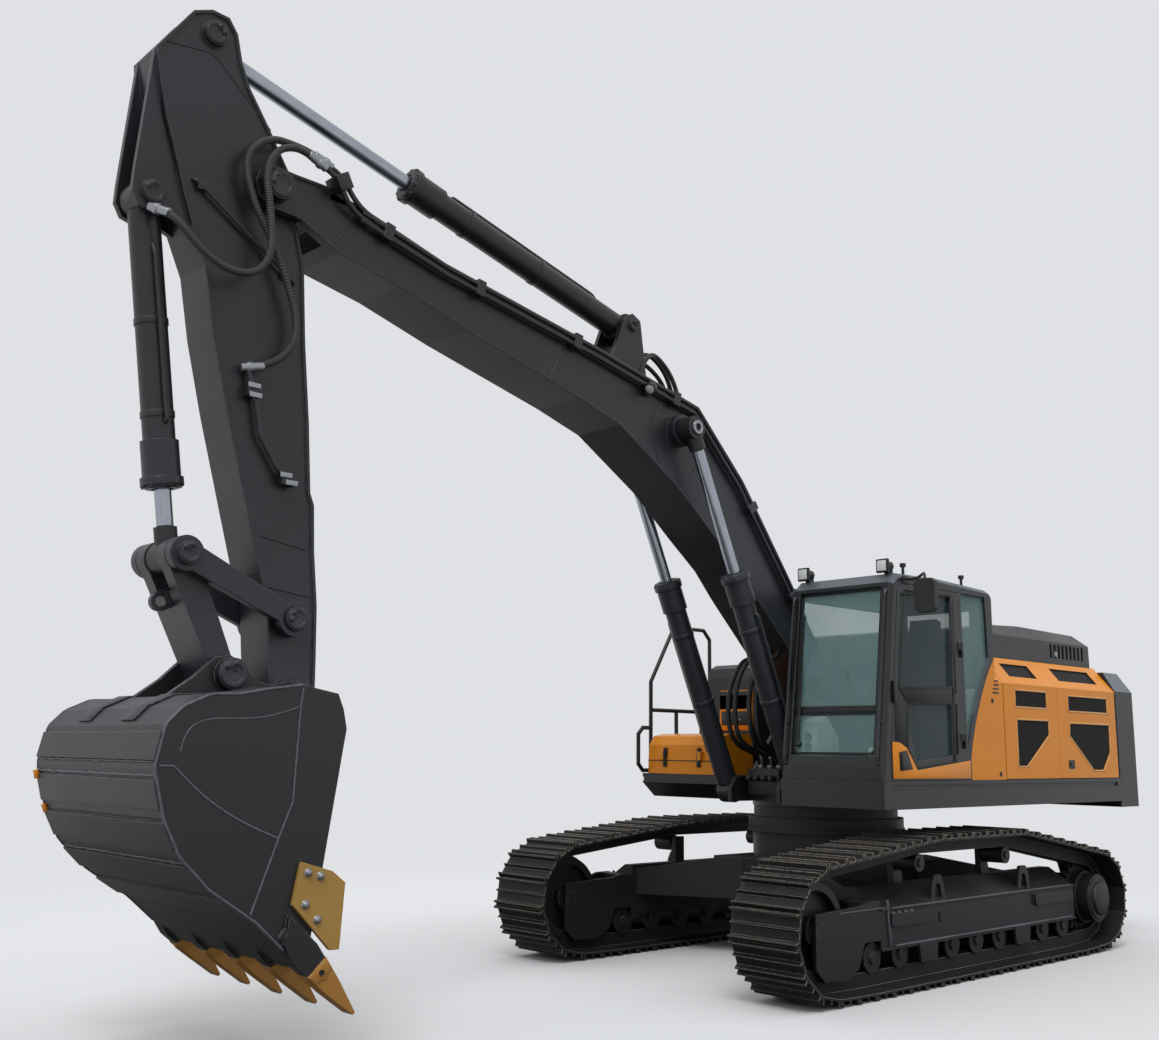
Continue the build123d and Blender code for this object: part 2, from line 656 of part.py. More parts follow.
def house():
    """Fixed walls and roof of the machinery bay."""
    wall = DECK_HALF_WIDTH - PANEL - SEAT_GAP
    top = HOUSE_TOP_HALF_WIDTH - PANEL
    section = [(-wall, DECK_TOP_Z), (-wall, SHOULDER_Z - 30), (-top, HOUSE_TOP_Z - 50),
               (top, HOUSE_TOP_Z - 50), (wall, SHOULDER_Z - 30), (wall, DECK_TOP_Z)]
    front = prism_x(section, HOUSE_FRONT_X - 40, HOUSE_FRONT_X)
    middle = prism_x(section, HOUSE_SPLIT_X - 25, HOUSE_SPLIT_X + 25)
    middle -= block(HOUSE_SPLIT_X - 30, HOUSE_SPLIT_X + 30, -700, 700, DECK_TOP_Z + 100, 2450)
    rear = prism_x(section, HOUSE_REAR_X, HOUSE_REAR_X + 30)
    roof = block(HOUSE_REAR_X, HOUSE_FRONT_X, -top, top, HOUSE_TOP_Z - 50, HOUSE_TOP_Z)
    roof -= block(HOOD_REAR_X + 120, HOOD_FRONT_X - 120, HOOD_RIGHT_Y + 120, HOOD_LEFT_Y - 120,
                  HOUSE_TOP_Z - 60, HOUSE_TOP_Z + 10)
    body = together([front, middle, rear, roof])
    for x in HOOD_HINGES:
        low, high = x + KNUCKLE_LENGTH + SEAT_GAP, x + 2 * KNUCKLE_LENGTH
        body += hood_knuckle(low, high)
        body += block(low, high, HOOD_HINGE_Y - 8, HOOD_HINGE_Y + 8, HOUSE_TOP_Z - 5, HOOD_HINGE_Z)
    return body


def hood_knuckle(x_low, x_high):
    """One barrel of the hood's hinge."""
    shape = Rot(0, 90, 0) * Cylinder(KNUCKLE_RADIUS, x_high - x_low)
    return Pos((x_low + x_high) / 2, HOOD_HINGE_Y, HOOD_HINGE_Z) * shape


def engine_hood():
    """The raised lid over the engine, hinged along its right side."""
    base = HOUSE_TOP_Z + SEAT_GAP
    top = base + HOOD_HEIGHT
    outline = [(HOOD_FRONT_X, base), (HOOD_FRONT_X - 60, top - 70), (HOOD_FRONT_X - 260, top - 30),
               (-1500, top), (HOOD_REAR_X + 130, top - 20), (HOOD_REAR_X + 10, top - 130),
               (HOOD_REAR_X, base)]
    left_top = HOOD_LEFT_Y - 130
    lid = prism_y(outline, HOOD_RIGHT_Y, HOOD_LEFT_Y)
    lid -= prism_x([(left_top, top + 5), (HOOD_LEFT_Y + 5, top - 130), (HOOD_LEFT_Y + 5, top + 5)],
                   HOOD_REAR_X - 5, HOOD_FRONT_X + 5)
    lid -= prism_x([(HOOD_RIGHT_Y - 5, top - 90), (HOOD_RIGHT_Y + 120, top + 5),
                    (HOOD_RIGHT_Y - 5, top + 5)], HOOD_REAR_X - 5, HOOD_FRONT_X + 5)
    inner = [(HOOD_FRONT_X - SKIN, base - 1), (HOOD_FRONT_X - 60 - SKIN, top - 70 - SKIN),
             (HOOD_FRONT_X - 270, top - 30 - SKIN), (-1500, top - SKIN),
             (HOOD_REAR_X + 140, top - 22 - SKIN), (HOOD_REAR_X + 10 + SKIN, top - 145),
             (HOOD_REAR_X + SKIN, base - 1)]
    inside = prism_y(inner, HOOD_RIGHT_Y + SKIN, HOOD_LEFT_Y - SKIN)
    inside -= prism_x([(left_top - 10, top - SKIN + 5), (left_top - 10, top + 5), (HOOD_LEFT_Y, top + 5),
                       (HOOD_LEFT_Y, top - 130 - SKIN)], HOOD_REAR_X, HOOD_FRONT_X)
    inside -= prism_x([(HOOD_RIGHT_Y, top - 90 - SKIN), (HOOD_RIGHT_Y + 130, top - SKIN + 5),
                       (HOOD_RIGHT_Y + 130, top + 5), (HOOD_RIGHT_Y, top + 5)], HOOD_REAR_X, HOOD_FRONT_X)
    lid -= inside
    for i in range(HOOD_SLOTS):
        x = HOOD_SLOT_X + HOOD_SLOT_PITCH * i
        lid -= block(x, x + HOOD_SLOT_PITCH * 0.55, HOOD_LEFT_Y - SKIN - 5, HOOD_LEFT_Y + 5,
                     base + 60, top - 150)
    for x in HOOD_HINGES:
        lid += hood_knuckle(x, x + KNUCKLE_LENGTH)
        lid += block(x, x + KNUCKLE_LENGTH, HOOD_HINGE_Y, HOOD_RIGHT_Y + 5,
                     HOOD_HINGE_Z - 5, HOOD_HINGE_Z + 5)
    return lid


def sweep_panel():
    """The curved side panel between the cab and the radiator door."""
    high = DECK_HALF_WIDTH
    outline = Line((HOUSE_FRONT_X + SEAM, DECK_TOP_Z + SEAT_GAP), (HOUSE_FRONT_X + SEAM, 2560))
    outline += Line((HOUSE_FRONT_X + SEAM, 2560), (-440, 2560))
    outline += Line((-440, 2560), (-355, 2472))
    outline += ThreePointArc((-355, 2472), (-110, 2060), (14, 1700))
    outline += Line((14, 1700), (14, DECK_TOP_Z + SEAT_GAP))
    outline += Line((14, DECK_TOP_Z + SEAT_GAP), (HOUSE_FRONT_X + SEAM, DECK_TOP_Z + SEAT_GAP))
    face = make_face(Plane.XZ * outline)
    panel = Pos(0, high, 0) * extrude(face, amount=PANEL + 15, dir=(0, -1, 0))
    whole = Pos(0, high, 0) * extrude(face, amount=SHOULDER_RUN + PANEL, dir=(0, -1, 0))
    behind = CAB_REAR_X - SEAM
    shoulder = whole & prism_x(side_section(DECK_TOP_Z + SEAT_GAP), HOUSE_FRONT_X, behind)
    return (panel & block(behind, 100, 0, high + 1, 0, 3000)) + shoulder


# ---- cab ----
def cab_side_outline():
    """Corners of the cab seen from the side."""
    return [(CAB_FRONT_X, DECK_TOP_Z + SEAT_GAP), (CAB_FRONT_X, 1640), (CAB_FRONT_X - CAB_RAKE + 30, 3080),
            (CAB_FRONT_X - CAB_RAKE - 60, CAB_ROOF_Z - 15), (400, CAB_ROOF_Z),
            (CAB_REAR_X + 60, CAB_ROOF_Z - 25), (CAB_REAR_X, 3080), (CAB_REAR_X, DECK_TOP_Z + SEAT_GAP)]


def cab_frame():
    """The hollow cab with its window and door apertures."""
    body = prism_y(cab_side_outline(), CAB_INNER_Y, CAB_OUTER_Y)
    softened = [edge for edge in body.edges() if edge.center().Z > 1620 and edge.center().X > -380
                and min(abs(edge.center().Y - CAB_INNER_Y), abs(edge.center().Y - CAB_OUTER_Y)) < 1]
    body = chamfer(softened, CAB_CORNER)
    wall = CAB_WALL
    inner = [(CAB_FRONT_X - wall, DECK_TOP_Z + 60), (CAB_FRONT_X - wall, 1640),
             (CAB_FRONT_X - CAB_RAKE - 20, 3060), (CAB_FRONT_X - CAB_RAKE - 90, CAB_ROOF_Z - 90),
             (CAB_REAR_X + 90, CAB_ROOF_Z - 90), (CAB_REAR_X + wall, 3040),
             (CAB_REAR_X + wall, DECK_TOP_Z + 60)]
    body -= prism_y(inner, CAB_INNER_Y + wall, CAB_OUTER_Y - wall)
    screen = prism_y([(CAB_FRONT_X - 320, 1720), (CAB_FRONT_X + 50, 1720), (CAB_FRONT_X + 50, 3050),
                      (CAB_FRONT_X - 420, 3050)], CAB_INNER_Y + CAB_POST, CAB_OUTER_Y - CAB_POST)
    body -= screen
    door = prism_y(door_outline(0), CAB_OUTER_Y - wall - 1, CAB_OUTER_Y + 5)
    quarter = prism_y(quarter_outline(), CAB_OUTER_Y - wall - 1, CAB_OUTER_Y + 5)
    sweep_cut = prism_y([(CAB_REAR_X - 5, DECK_TOP_Z - 5), (CAB_REAR_X - 5, 2610), (-440, 2580),
                         (-345, 2480), (-225, 2300), (-100, 2060), (-20, 1860), (22, 1700),
                         (22, DECK_TOP_Z - 5)],
                        CAB_OUTER_Y - PANEL - 20, CAB_OUTER_Y + 5)
    body = body - door - quarter - sweep_cut
    right = prism_y(RIGHT_WINDOW, CAB_INNER_Y - 5, CAB_INNER_Y + wall + 1)
    back = block(CAB_REAR_X - 5, CAB_REAR_X + wall + 1, CAB_INNER_Y + 140, CAB_OUTER_Y - 190, 2350, 2980)
    body = body - right - back
    for z in HINGE_HEIGHTS:
        body += disc_z(HINGE_X, HINGE_Y, 12, z - 60, z - SEAT_GAP)
        body += block(HINGE_X - 25, HINGE_X, CAB_OUTER_Y - 5, HINGE_Y, z - 60, z - SEAT_GAP)
    return body


def door_outline(inset):
    """Corners of the door seen from the side."""
    return [(DOOR_FRONT_X - inset, 1560 + inset), (DOOR_FRONT_X - inset, 1760),
            (DOOR_FRONT_X - 150 - inset, 3020 - inset), (DOOR_FRONT_X - 220 - inset, 3080 - inset),
            (DOOR_REAR_X + inset, 3080 - inset), (DOOR_REAR_X + inset, 1560 + inset)]


def quarter_outline():
    """Corners of the window behind the door."""
    return [(85, 3080), (-310, 3080), (-330, 2560), (-250, 2420), (-60, 2080), (60, 1780)]


def side_pane(outline, y_low):
    """A pane that fills an opening seen from the side."""
    edge = Plane.XZ * Polyline(*outline, close=True)
    face = offset(make_face(edge), amount=-SEAT_GAP, kind=Kind.INTERSECTION)
    return Pos(0, y_low + GLASS, 0) * extrude(face, amount=GLASS, dir=(0, -1, 0))


def door_windows():
    """The two glazed openings of the door."""
    upper = [(1075, 2230), (1000, 2990), (930, 3030), (240, 3030), (215, 3000), (215, 2230)]
    lower = [(1085, 2150), (900, 1840), (850, 1680), (215, 1740), (215, 2150)]
    return upper, lower


def cab_door():
    """The door with its glazed openings cut through."""
    door = prism_y(door_outline(SEAM), CAB_OUTER_Y - 38, CAB_OUTER_Y + 2)
    for outline in door_windows():
        door -= prism_y(outline, CAB_OUTER_Y - 60, CAB_OUTER_Y + 20)
    for z in HINGE_HEIGHTS:
        door += disc_z(HINGE_X, HINGE_Y, 12, z, z + 60)
        door += block(HINGE_X, HINGE_X + 40, CAB_OUTER_Y, HINGE_Y, z, z + 60)
    return door


def cab_glass():
    """Panes held in the fixed part of the cab."""
    rake = CAB_RAKE
    front_low = 1720 + SEAT_GAP
    front_high = 3050 - SEAT_GAP
    span = (front_high - front_low)
    slope = (rake - 30) / (3080 - 1640)
    x_low = CAB_FRONT_X - 30 - slope * (front_low - 1640)
    x_high = x_low - slope * span
    pane = prism_y([(x_low, front_low), (x_high, front_high), (x_high - GLASS, front_high),
                    (x_low - GLASS, front_low)],
                   CAB_INNER_Y + CAB_POST + SEAT_GAP, CAB_OUTER_Y - CAB_POST - SEAT_GAP)
    quarter = side_pane(quarter_outline(), CAB_OUTER_Y - 30)
    right = side_pane(RIGHT_WINDOW, CAB_INNER_Y + 10)
    back = block(CAB_REAR_X + 10, CAB_REAR_X + 10 + GLASS, CAB_INNER_Y + 140 + SEAT_GAP,
                 CAB_OUTER_Y - 190 - SEAT_GAP, 2350 + SEAT_GAP, 2980 - SEAT_GAP)
    return apart([pane, quarter, right, back])


def door_glass():
    """Panes held in the door."""
    return apart([side_pane(outline, CAB_OUTER_Y - 25) for outline in door_windows()])


def operator_chair():
    """The chair with its side consoles."""
    floor = DECK_TOP_Z + 60 + SEAT_GAP
    middle = (CAB_INNER_Y + CAB_OUTER_Y) / 2
    reach = (CAB_OUTER_Y - CAB_INNER_Y) / 2 - CAB_WALL - CONSOLE_CLEARANCE
    seat = reach - CONSOLE_WIDTH - 10
    base = block(60, 480, middle - seat + 40, middle + seat - 40, floor, 1900)
    cushion = block(0, 560, middle - seat, middle + seat, 1900, 2010)
    rest = [(90, 2010), (10, 2010), (-150, 2680), (-70, 2700)]
    back = prism_y(rest, middle - seat + 30, middle + seat - 30)
    pillow = [(-160, 2700), (-75, 2720), (-110, 2900), (-190, 2880)]
    head = prism_y(pillow, middle - seat / 2, middle + seat / 2)
    head += block(-125, -95, middle - 20, middle + 20, 2640, 2740)
    arms = []
    for y in (middle - reach, middle + reach - CONSOLE_WIDTH):
        arms.append(block(60, 640, y, y + CONSOLE_WIDTH, 1980, 2140))
        arms.append(block(120, 420, y, y + CONSOLE_WIDTH, floor, 1980))
        arms.append(bar((560, y + CONSOLE_WIDTH / 2, 2140), (590, y + CONSOLE_WIDTH / 2, 2330), 22))
    return together([base, cushion, back, head, *arms])


def roof_z(x):
    """The height of the cab's roof, which falls from its crown to both ends."""
    if x > 400:
        return CAB_ROOF_Z - 15 * (x - 400) / (CAB_FRONT_X - CAB_RAKE - 460)
    return CAB_ROOF_Z - 25 * (400 - x) / (340 - CAB_REAR_X)


def cab_lamps():
    """Work lamps and small markers on brackets on the cab's roof."""
    lamps = []
    for y in (CAB_INNER_Y + 90, CAB_OUTER_Y - 110):
        foot = prism_y([(950, roof_z(950) + SEAT_GAP), (1008, roof_z(1008) + SEAT_GAP), (1008, 3190),
                        (950, 3190)], y - 22, y + 22)
        lamps.append(foot + bar((965, y, LAMP_Z), (1060, y, LAMP_Z), LAMP_RADIUS))
    for x, y in ((880, CAB_OUTER_Y - 40), (-40, CAB_OUTER_Y - 60)):
        low = roof_z(x) + SEAT_GAP
        lamps.append(disc_z(x, y, 12, low, low + 60) + disc_z(x, y, 24, low + 60, low + 90))
    return apart(lamps)


def wing_mirror():
    """The wing mirror on its arm, clear of the path of the door."""
    plate = block(880, 960, CAB_OUTER_Y + SEAT_GAP, CAB_OUTER_Y + 12, 3088, 3140)
    x, y, z = MIRROR
    arm = tube_path([(920, CAB_OUTER_Y + 6, 3114), (920, CAB_OUTER_Y + 110, 3114), (1150, y - 40, 3114),
                     (x, y, 3030), MIRROR], 11, 50)
    head = block(x - 25, x + 25, y - 88, y + 88, z - 130, z + 130)
    head = chamfer(head.edges().filter_by(Axis.X), 30)
    return together([plate, arm, head])


# ---- right hand side ----
def tool_box():
    """The open box in front of the tank, without its lid."""
    outer = TOOL_BOX_OUTER_Y
    body = block(330, 835, outer, -560, DECK_TOP_Z, TOOL_SEAM_Z - SEAT_GAP)
    return body - block(360, 805, outer + 30, -590, DECK_TOP_Z + 30, TOOL_SEAM_Z)


def tool_box_lid():
    """The lid of the tool box with its rounded front edge."""
    outline = [(LID_HINGE[0], TOOL_SEAM_Z), LID_HINGE, (640, 1905), (760, 1880), (820, 1800),
               (835, TOOL_SEAM_Z)]
    lid = prism_y(outline, TOOL_BOX_OUTER_Y, -560)
    inside = [(360, TOOL_SEAM_Z - 1), (360, 1875), (630, 1875), (740, 1852), (792, 1790),
              (805, TOOL_SEAM_Z - 1)]
    lid -= prism_y(inside, TOOL_BOX_OUTER_Y + 30, -590)
    for y in (-1230, -760):
        lid += block(832, 862, y - 22, y + 22, 1662, 1740)
    for y in LID_HINGES:
        lid += disc_y(LID_HINGE, LID_KNUCKLE, y - 60, y)
        lid -= block(LID_HINGE[0] - 1, LID_HINGE[0] + LID_KNUCKLE + 1, y, y + 60 + SEAT_GAP,
                     LID_HINGE[1] - LID_KNUCKLE - 1, LID_HINGE[1] + 1)
    return lid


def tank():
    """The tall tank behind the tool box."""
    outline = [(HOUSE_FRONT_X + 30, DECK_TOP_Z), (HOUSE_FRONT_X + 30, 2560), (180, 2570), (270, 2530),
               (305, 2440), (310, DECK_TOP_Z)]
    body = prism_y(outline, 370 - DECK_HALF_WIDTH, -560)
    side = block(HOUSE_FRONT_X + 30, 40, 20 - DECK_HALF_WIDTH, 370 - DECK_HALF_WIDTH, DECK_TOP_Z, 2300)
    panel = block(290, 322, -1010, -600, 2140, 2310)
    body = together([body, side, panel])
    for y in LID_HINGES:
        body += disc_y(LID_HINGE, LID_KNUCKLE, y + SEAT_GAP, y + 60)
        body += block(290, LID_HINGE[0], y + SEAT_GAP, y + 60, LID_HINGE[1] - 7, LID_HINGE[1] + 7)
    return body


def handrails():
    """Rails beside the steps on the right."""
    r = 19
    y = 38 - DECK_HALF_WIDTH
    post = bar((760, y, DECK_TOP_Z), (760, y, 2400), r)
    rail = tube_path([(760, y, 2400), (430, y, 2950), (-100, y, 2950), (-100, y, 2300)], r, 90)
    middle = bar((760, y, 2130), (40, y, 2130), r)
    stay = bar((400, y, 2130), (400, y, DECK_TOP_Z), r)
    loop = tube_path([(760, y, 1560), (930, y, 1560), (930, y, 1960), (760, y, 1960)], r, 60)
    return together([post, rail, middle, stay, loop])


# ---- working arm ----
def flanged(outline, half):
    """A welded box beam whose top and bottom plates stand out past its side plates."""
    beam = prism_y(outline, -half, half)
    edge = Plane.XZ * Polyline(*outline, close=True)
    web = offset(make_face(edge), amount=-FLANGE, kind=Kind.INTERSECTION)
    for low, high in ((half - FLANGE_LIP, half + 1), (-half - 1, FLANGE_LIP - half)):
        beam -= Pos(0, high, 0) * extrude(web, amount=high - low, dir=(0, -1, 0))
    return beam


def boom():
    """The bent box-section boom with its fork at the tip."""
    foot, tip = BOOM_FOOT, BOOM_TIP
    eye = BOOM_CYLINDER_EYE
    side = [(foot[0] + 120, foot[1] - 110), (560, 2390), (1266, 3056), (1483, 3284), (1808, 3526),
            (2255, 3873), (2888, 4250), (3328, 4383), (4417, 4655), (5007, 4826), (5494, 4924),
            (5790, 5075), (5990, 5085), (6080, 5140), (6110, 5230), (6080, 5320), (5990, 5372),
            (5838, 5360), (5612, 5356), (5210, 5264), (4615, 5098), (3151, 4833), (2591, 4713),
            (1990, 4583), (1417, 4033), (817, 3274), (foot[0] - 120, foot[1] + 110)]
    body = flanged(side, BOOM_HALF_WIDTH)
    hub = disc_y(foot, 165, -BOOM_HALF_WIDTH, BOOM_HALF_WIDTH)
    slot = prism_y([(5600, 4800), (5560, 5150), (5400, 5290), (5400, 5600), (6300, 5600), (6300, 4800)],
                   -STICK_HALF_WIDTH - FORK_GAP, STICK_HALF_WIDTH + FORK_GAP)
    bore = disc_y(foot, BOOM_PIN + SEAT_GAP, -BOOM_HALF_WIDTH - 1, BOOM_HALF_WIDTH + 1)
    body = together([body, hub]) - slot - bore
    body += disc_y(tip, BOOM_PIN, -BOOM_HALF_WIDTH, BOOM_HALF_WIDTH)
    boss = disc_y(eye, 130, -BOOM_CYLINDER_Y + 76, BOOM_CYLINDER_Y - 76)
    body += boss
    for side_of in (-1, 1):
        low, high = sorted((side_of * BOOM_HALF_WIDTH, side_of * (BOOM_HALF_WIDTH + 70)))
        body += disc_y(tip, 100, low, high)
    foot_x, foot_z = STICK_CYLINDER_FOOT
    lug = prism_y([(foot_x - 170, foot_z - 460), (foot_x - 90, foot_z + 60), (foot_x, foot_z + 105),
                   (foot_x + 80, foot_z + 60), (foot_x + 260, foot_z - 400)], 106, 146)
    pin = disc_y(STICK_CYLINDER_FOOT, CYLINDER_PIN, -165, 165)
    return together([body, lug, mirrored(lug), pin])


def boom_pipes():
    """Two oil pipes along each side of the boom's upper edge, held in clamps."""
    out = BOOM_HALF_WIDTH + 8 + PIPE_RADIUS
    top = [(560, 2930), (817, 3274), (1417, 4033), (1990, 4583), (2591, 4713), (3151, 4833), (4615, 5098),
           (5330, 5286)]
    side = []
    for lane in (0, 1):
        points = []
        for i in range(len(top)):
            ahead = top[min(i + 1, len(top) - 1)]
            back = top[max(i - 1, 0)]
            length = hypot(ahead[0] - back[0], ahead[1] - back[1])
            drop = 40 + PIPE_PITCH * lane
            x = top[i][0] + (ahead[1] - back[1]) / length * drop
            z = top[i][1] - (ahead[0] - back[0]) / length * drop
            points.append((x, out, z))
        side.append(tube_path(points, PIPE_RADIUS))
    for start, end, share in PIPE_CLAMPS:
        a, b = top[start], top[end]
        at = hypot(b[0] - a[0], b[1] - a[1]) * share
        for edge, low_y, high_y in ((FLANGE + 24, BOOM_HALF_WIDTH - FLANGE_LIP, BOOM_HALF_WIDTH + 1),
                                    (8, BOOM_HALF_WIDTH + SEAT_GAP, out + PIPE_RADIUS + 6)):
            corners = [toward(a, b, at - 35, -edge), toward(a, b, at + 35, -edge),
                       toward(a, b, at + 35, -PIPE_PITCH - 68), toward(a, b, at - 35, -PIPE_PITCH - 68)]
            side.append(prism_y(corners, low_y, high_y))
    return together(side)


def stick():
    """The box-section stick between the boom fork and the bucket."""
    pivot, top = BOOM_TIP, STICK_CYLINDER_EYE
    head, low = BUCKET_CYLINDER_HEAD, BUCKET_PIN
    side = [(low[0] - 155, low[1]), (5470, 2278), (5481, 2612), (5519, 2948), (5536, 3241), (5568, 3319),
            (5603, 3762), (5660, 4275), (5700, 4800), (5790, 5130), (5850, 5400), (6000, 5640),
            (6152, 5865), (6216, 6017), (6258, 6194), (6322, 6282), (6437, 6289), (6560, 6232),
            (6774, 5908), (6752, 5748), (6689, 5488), (6595, 5206), (6541, 5026), (6480, 4864),
            (6371, 4617), (6296, 4223), (6178, 3766), (6002, 3159), (5891, 2780), (5829, 2614),
            (5800, 2300), (low[0] + 155, low[1])]
    body = flanged(side, STICK_HALF_WIDTH)
    slot = prism_y([(top[0] - 510, top[1] - 195), (top[0] - 200, top[1] - 195), (top[0] - 165, top[1] - 262),
                    (top[0] + 60, top[1] - 262), (top[0] + 200, top[1] - 100), (top[0] + 355, top[1] - 35),
                    (top[0] + 355, top[1] + 370), (top[0] - 510, top[1] + 370)], -STICK_SLOT, STICK_SLOT)
    body -= slot
    ear = prism_y([(6774, 5908), (6840, 5080), (6845, 4960), (6800, 4880), (6700, 4852), (6600, 4890),
                   (6440, 4830), (6480, 4864), (6600, 5210), (6700, 5500)], 100, 140)
    body = together([body, ear, mirrored(ear)])
    for centre, radius, reach in ((STICK_LINK_PIN, STICK_LINK_PIN_RADIUS, 290), (low, 160, STICK_HALF_WIDTH),
                                  (low, 95, 190)):
        body += disc_y(centre, radius, -reach, reach)
    for side_of in (-1, 1):
        low_y, high_y = sorted((side_of * STICK_SLOT, side_of * (STICK_HALF_WIDTH + 22)))
        body += disc_y(top, 80, low_y, high_y)
        low_y, high_y = sorted((side_of * 140, side_of * 165))
        body += disc_y(head, 75, low_y, high_y)
    body += disc_y(head, CYLINDER_PIN, -150, 150)
    bores = disc_y(pivot, BOOM_PIN + SEAT_GAP, -STICK_HALF_WIDTH - 1, STICK_HALF_WIDTH + 1)
    bores += disc_y(low, BUCKET_PIN_RADIUS + SEAT_GAP, -STICK_HALF_WIDTH - 30, STICK_HALF_WIDTH + 30)
    return body - bores


def stick_pipes():
    """The pipe down the stick's left side and the lamp-side pipe, each in two clamps."""
    out = STICK_HALF_WIDTH + 12 + PIPE_RADIUS
    points = [(6063, out, 4010), (5990, out, 3790), (5955, out, 3620), (5835, out, 3440), (5712, out, 3330)]
    pipe = tube_path(points, PIPE_RADIUS)
    pieces = [pipe]
    for x, z in ((6022, 3886), (5757, 3370)):
        pieces.append(block(x - 46, x + 46, STICK_HALF_WIDTH - FLANGE_LIP, out + PIPE_RADIUS + 5,
                            z - 36, z + 36))
    return together(pieces)


def side_links():
    """The two links between the stick and the link pin."""
    start, end = STICK_LINK_PIN, LINK_PIN
    low, high = 200, 265
    web = prism_y([toward(start, end, 0, 62), toward(end, start, 0, -78), toward(end, start, 0, 78),
                   toward(start, end, 0, -62)], low, high)
    link = together([web, disc_y(start, 110, low, high), disc_y(end, 105, low, high)])
    link -= disc_y(start, STICK_LINK_PIN_RADIUS + SEAT_GAP, low - 5, high + 5)
    link += disc_y(end, 70, high, high + 40)
    link += disc_y(end, LINK_PIN_RADIUS, LINK_SLOT + 2, high)
    return both(link)


def h_link():
    """The middle link between the link pin and the bucket."""
    top, low = LINK_PIN, BUCKET_LINK_PIN
    half = 190
    web = prism_y([toward(top, low, 40, 95), toward(low, top, 20, -72), toward(low, top, 20, 72),
                   toward(top, low, 40, -95)], -half, half)
    body = together([web, disc_y(top, 105, -190, 190), disc_y(low, 75, -half, half)])
    body -= disc_y(top, LINK_PIN_RADIUS + SEAT_GAP, -half - 1, half + 1)
    slot = prism_y([toward(top, low, 185, 200), toward(top, low, -200, 200), toward(top, low, -200, -200),
                    toward(top, low, 185, -200)], -LINK_SLOT, LINK_SLOT)
    eye = toward(top, low, EYE_ALONG, EYE_ACROSS)
    near, far = EYE_ALONG - EYE_RADIUS - 26, EYE_ALONG + EYE_RADIUS + 26
    ear = prism_y([toward(top, low, near, 0), toward(top, low, near, EYE_ACROSS),
                   toward(top, low, far, EYE_ACROSS), toward(top, low, far, 0)], -20, 20)
    ring = together([disc_y(eye, EYE_RADIUS + 26, -20, 20), ear])
    return together([body - slot, ring]) - disc_y(eye, EYE_RADIUS, -21, 21)


def bucket():
    """The bucket: wrapper, side plates, lip and ears, open towards the machine."""
    back = [(5690, 2040), (5924, 2080), (6128, 2051), (6307, 2016), (6471, 2010), (6623, 1940), (6714, 1846),
            (6761, 1626), (6693, 1371), (6595, 1177), (6415, 998), (6140, 817), (5828, 540)]
    front = [(5770, 640), (5799, 700), (5741, 1084), (5639, 1754), (5625, 1842), (5650, 1950)]
    outline = back + front
    half = BUCKET_HALF_WIDTH
    solid = prism_y(outline, -half, half)
    hollow = prism_y([(5400, 2030), (5700, 1985), (5930, 2030), (6128, 2003), (6300, 1968), (6455, 1962),
                      (6590, 1905), (6668, 1826), (6712, 1626), (6648, 1392), (6556, 1207), (6385, 1037),
                      (6110, 853), (5800, 600), (5400, 500)], -half + BUCKET_PLATE, half - BUCKET_PLATE)
    shell = solid - hollow
    for (a, b), start, end in WEAR_STRAPS:
        solid_strap = [toward(back[a], back[b], start, 0), toward(back[a], back[b], end, 0),
                       toward(back[a], back[b], end, STRAP), toward(back[a], back[b], start, STRAP)]
        shell += prism_y(solid_strap, -half, half)
    lip = prism_y([(6000, 730), (5800, 545), (5752, 592), (5960, 780)], -half - 12, half + 12)
    shell = together([shell, lip] + [tooth_adapter(y) for y in tooth_rows()])
    ear = prism_y([(6640, 1930), (6480, 2000), (6300, 2130), (6180, 2245), (6085, 2265), (5990, 2215),
                   (5900, 2120), (5800, 2100), (5700, 2130), (5600, 2135), (5500, 2060), (5500, 1960),
                   (5580, 1900), (5700, 1930), (5924, 2050), (6300, 1985)], 196, 236)
    shell -= disc_y(BUCKET_PIN, 215, -196, 196)
    for centre in LINK_END_PATH:
        shell -= disc_y(centre, 84, -196, 196)
    shell = together([shell, ear, mirrored(ear)])
    for centre, radius in ((BUCKET_LINK_PIN, 92), (BUCKET_PIN, 100)):
        for side_of in (-1, 1):
            low, high = sorted((side_of * 236, side_of * 300))
            shell += disc_y(centre, radius, low, high)
    return shell + disc_y(BUCKET_PIN, BUCKET_PIN_RADIUS, -240, 240)


def tooth_rows():
    """The y of each tooth."""
    return [TOOTH_SPREAD - 2 * TOOTH_SPREAD * i / (TOOTH_COUNT - 1) for i in range(TOOTH_COUNT)]


def lip_point(along, across):
    """A point measured from the tooth root along the digging direction and across it."""
    return toward(TOOTH_ROOT, TOOTH_TIP, along, across)


def tooth_adapter(y):
    """The socket welded over the lip that carries a tooth."""
    outline = [lip_point(-330, -60), lip_point(-90, -82), lip_point(0, -70), lip_point(0, 70),
               lip_point(-90, 82), lip_point(-230, 60)]
    return prism_y(outline, y - 50, y + 50)


def bucket_teeth():
    """Tooth tips in front of their adapters."""
    length = hypot(TOOTH_TIP[0] - TOOTH_ROOT[0], TOOTH_TIP[1] - TOOTH_ROOT[1])
    outline = [lip_point(0, -74), lip_point(length * 0.45, -50), lip_point(length, -9), lip_point(length, 9),
               lip_point(length * 0.45, 50), lip_point(0, 74)]
    return apart([prism_y(outline, y - 54, y + 54) for y in tooth_rows()])


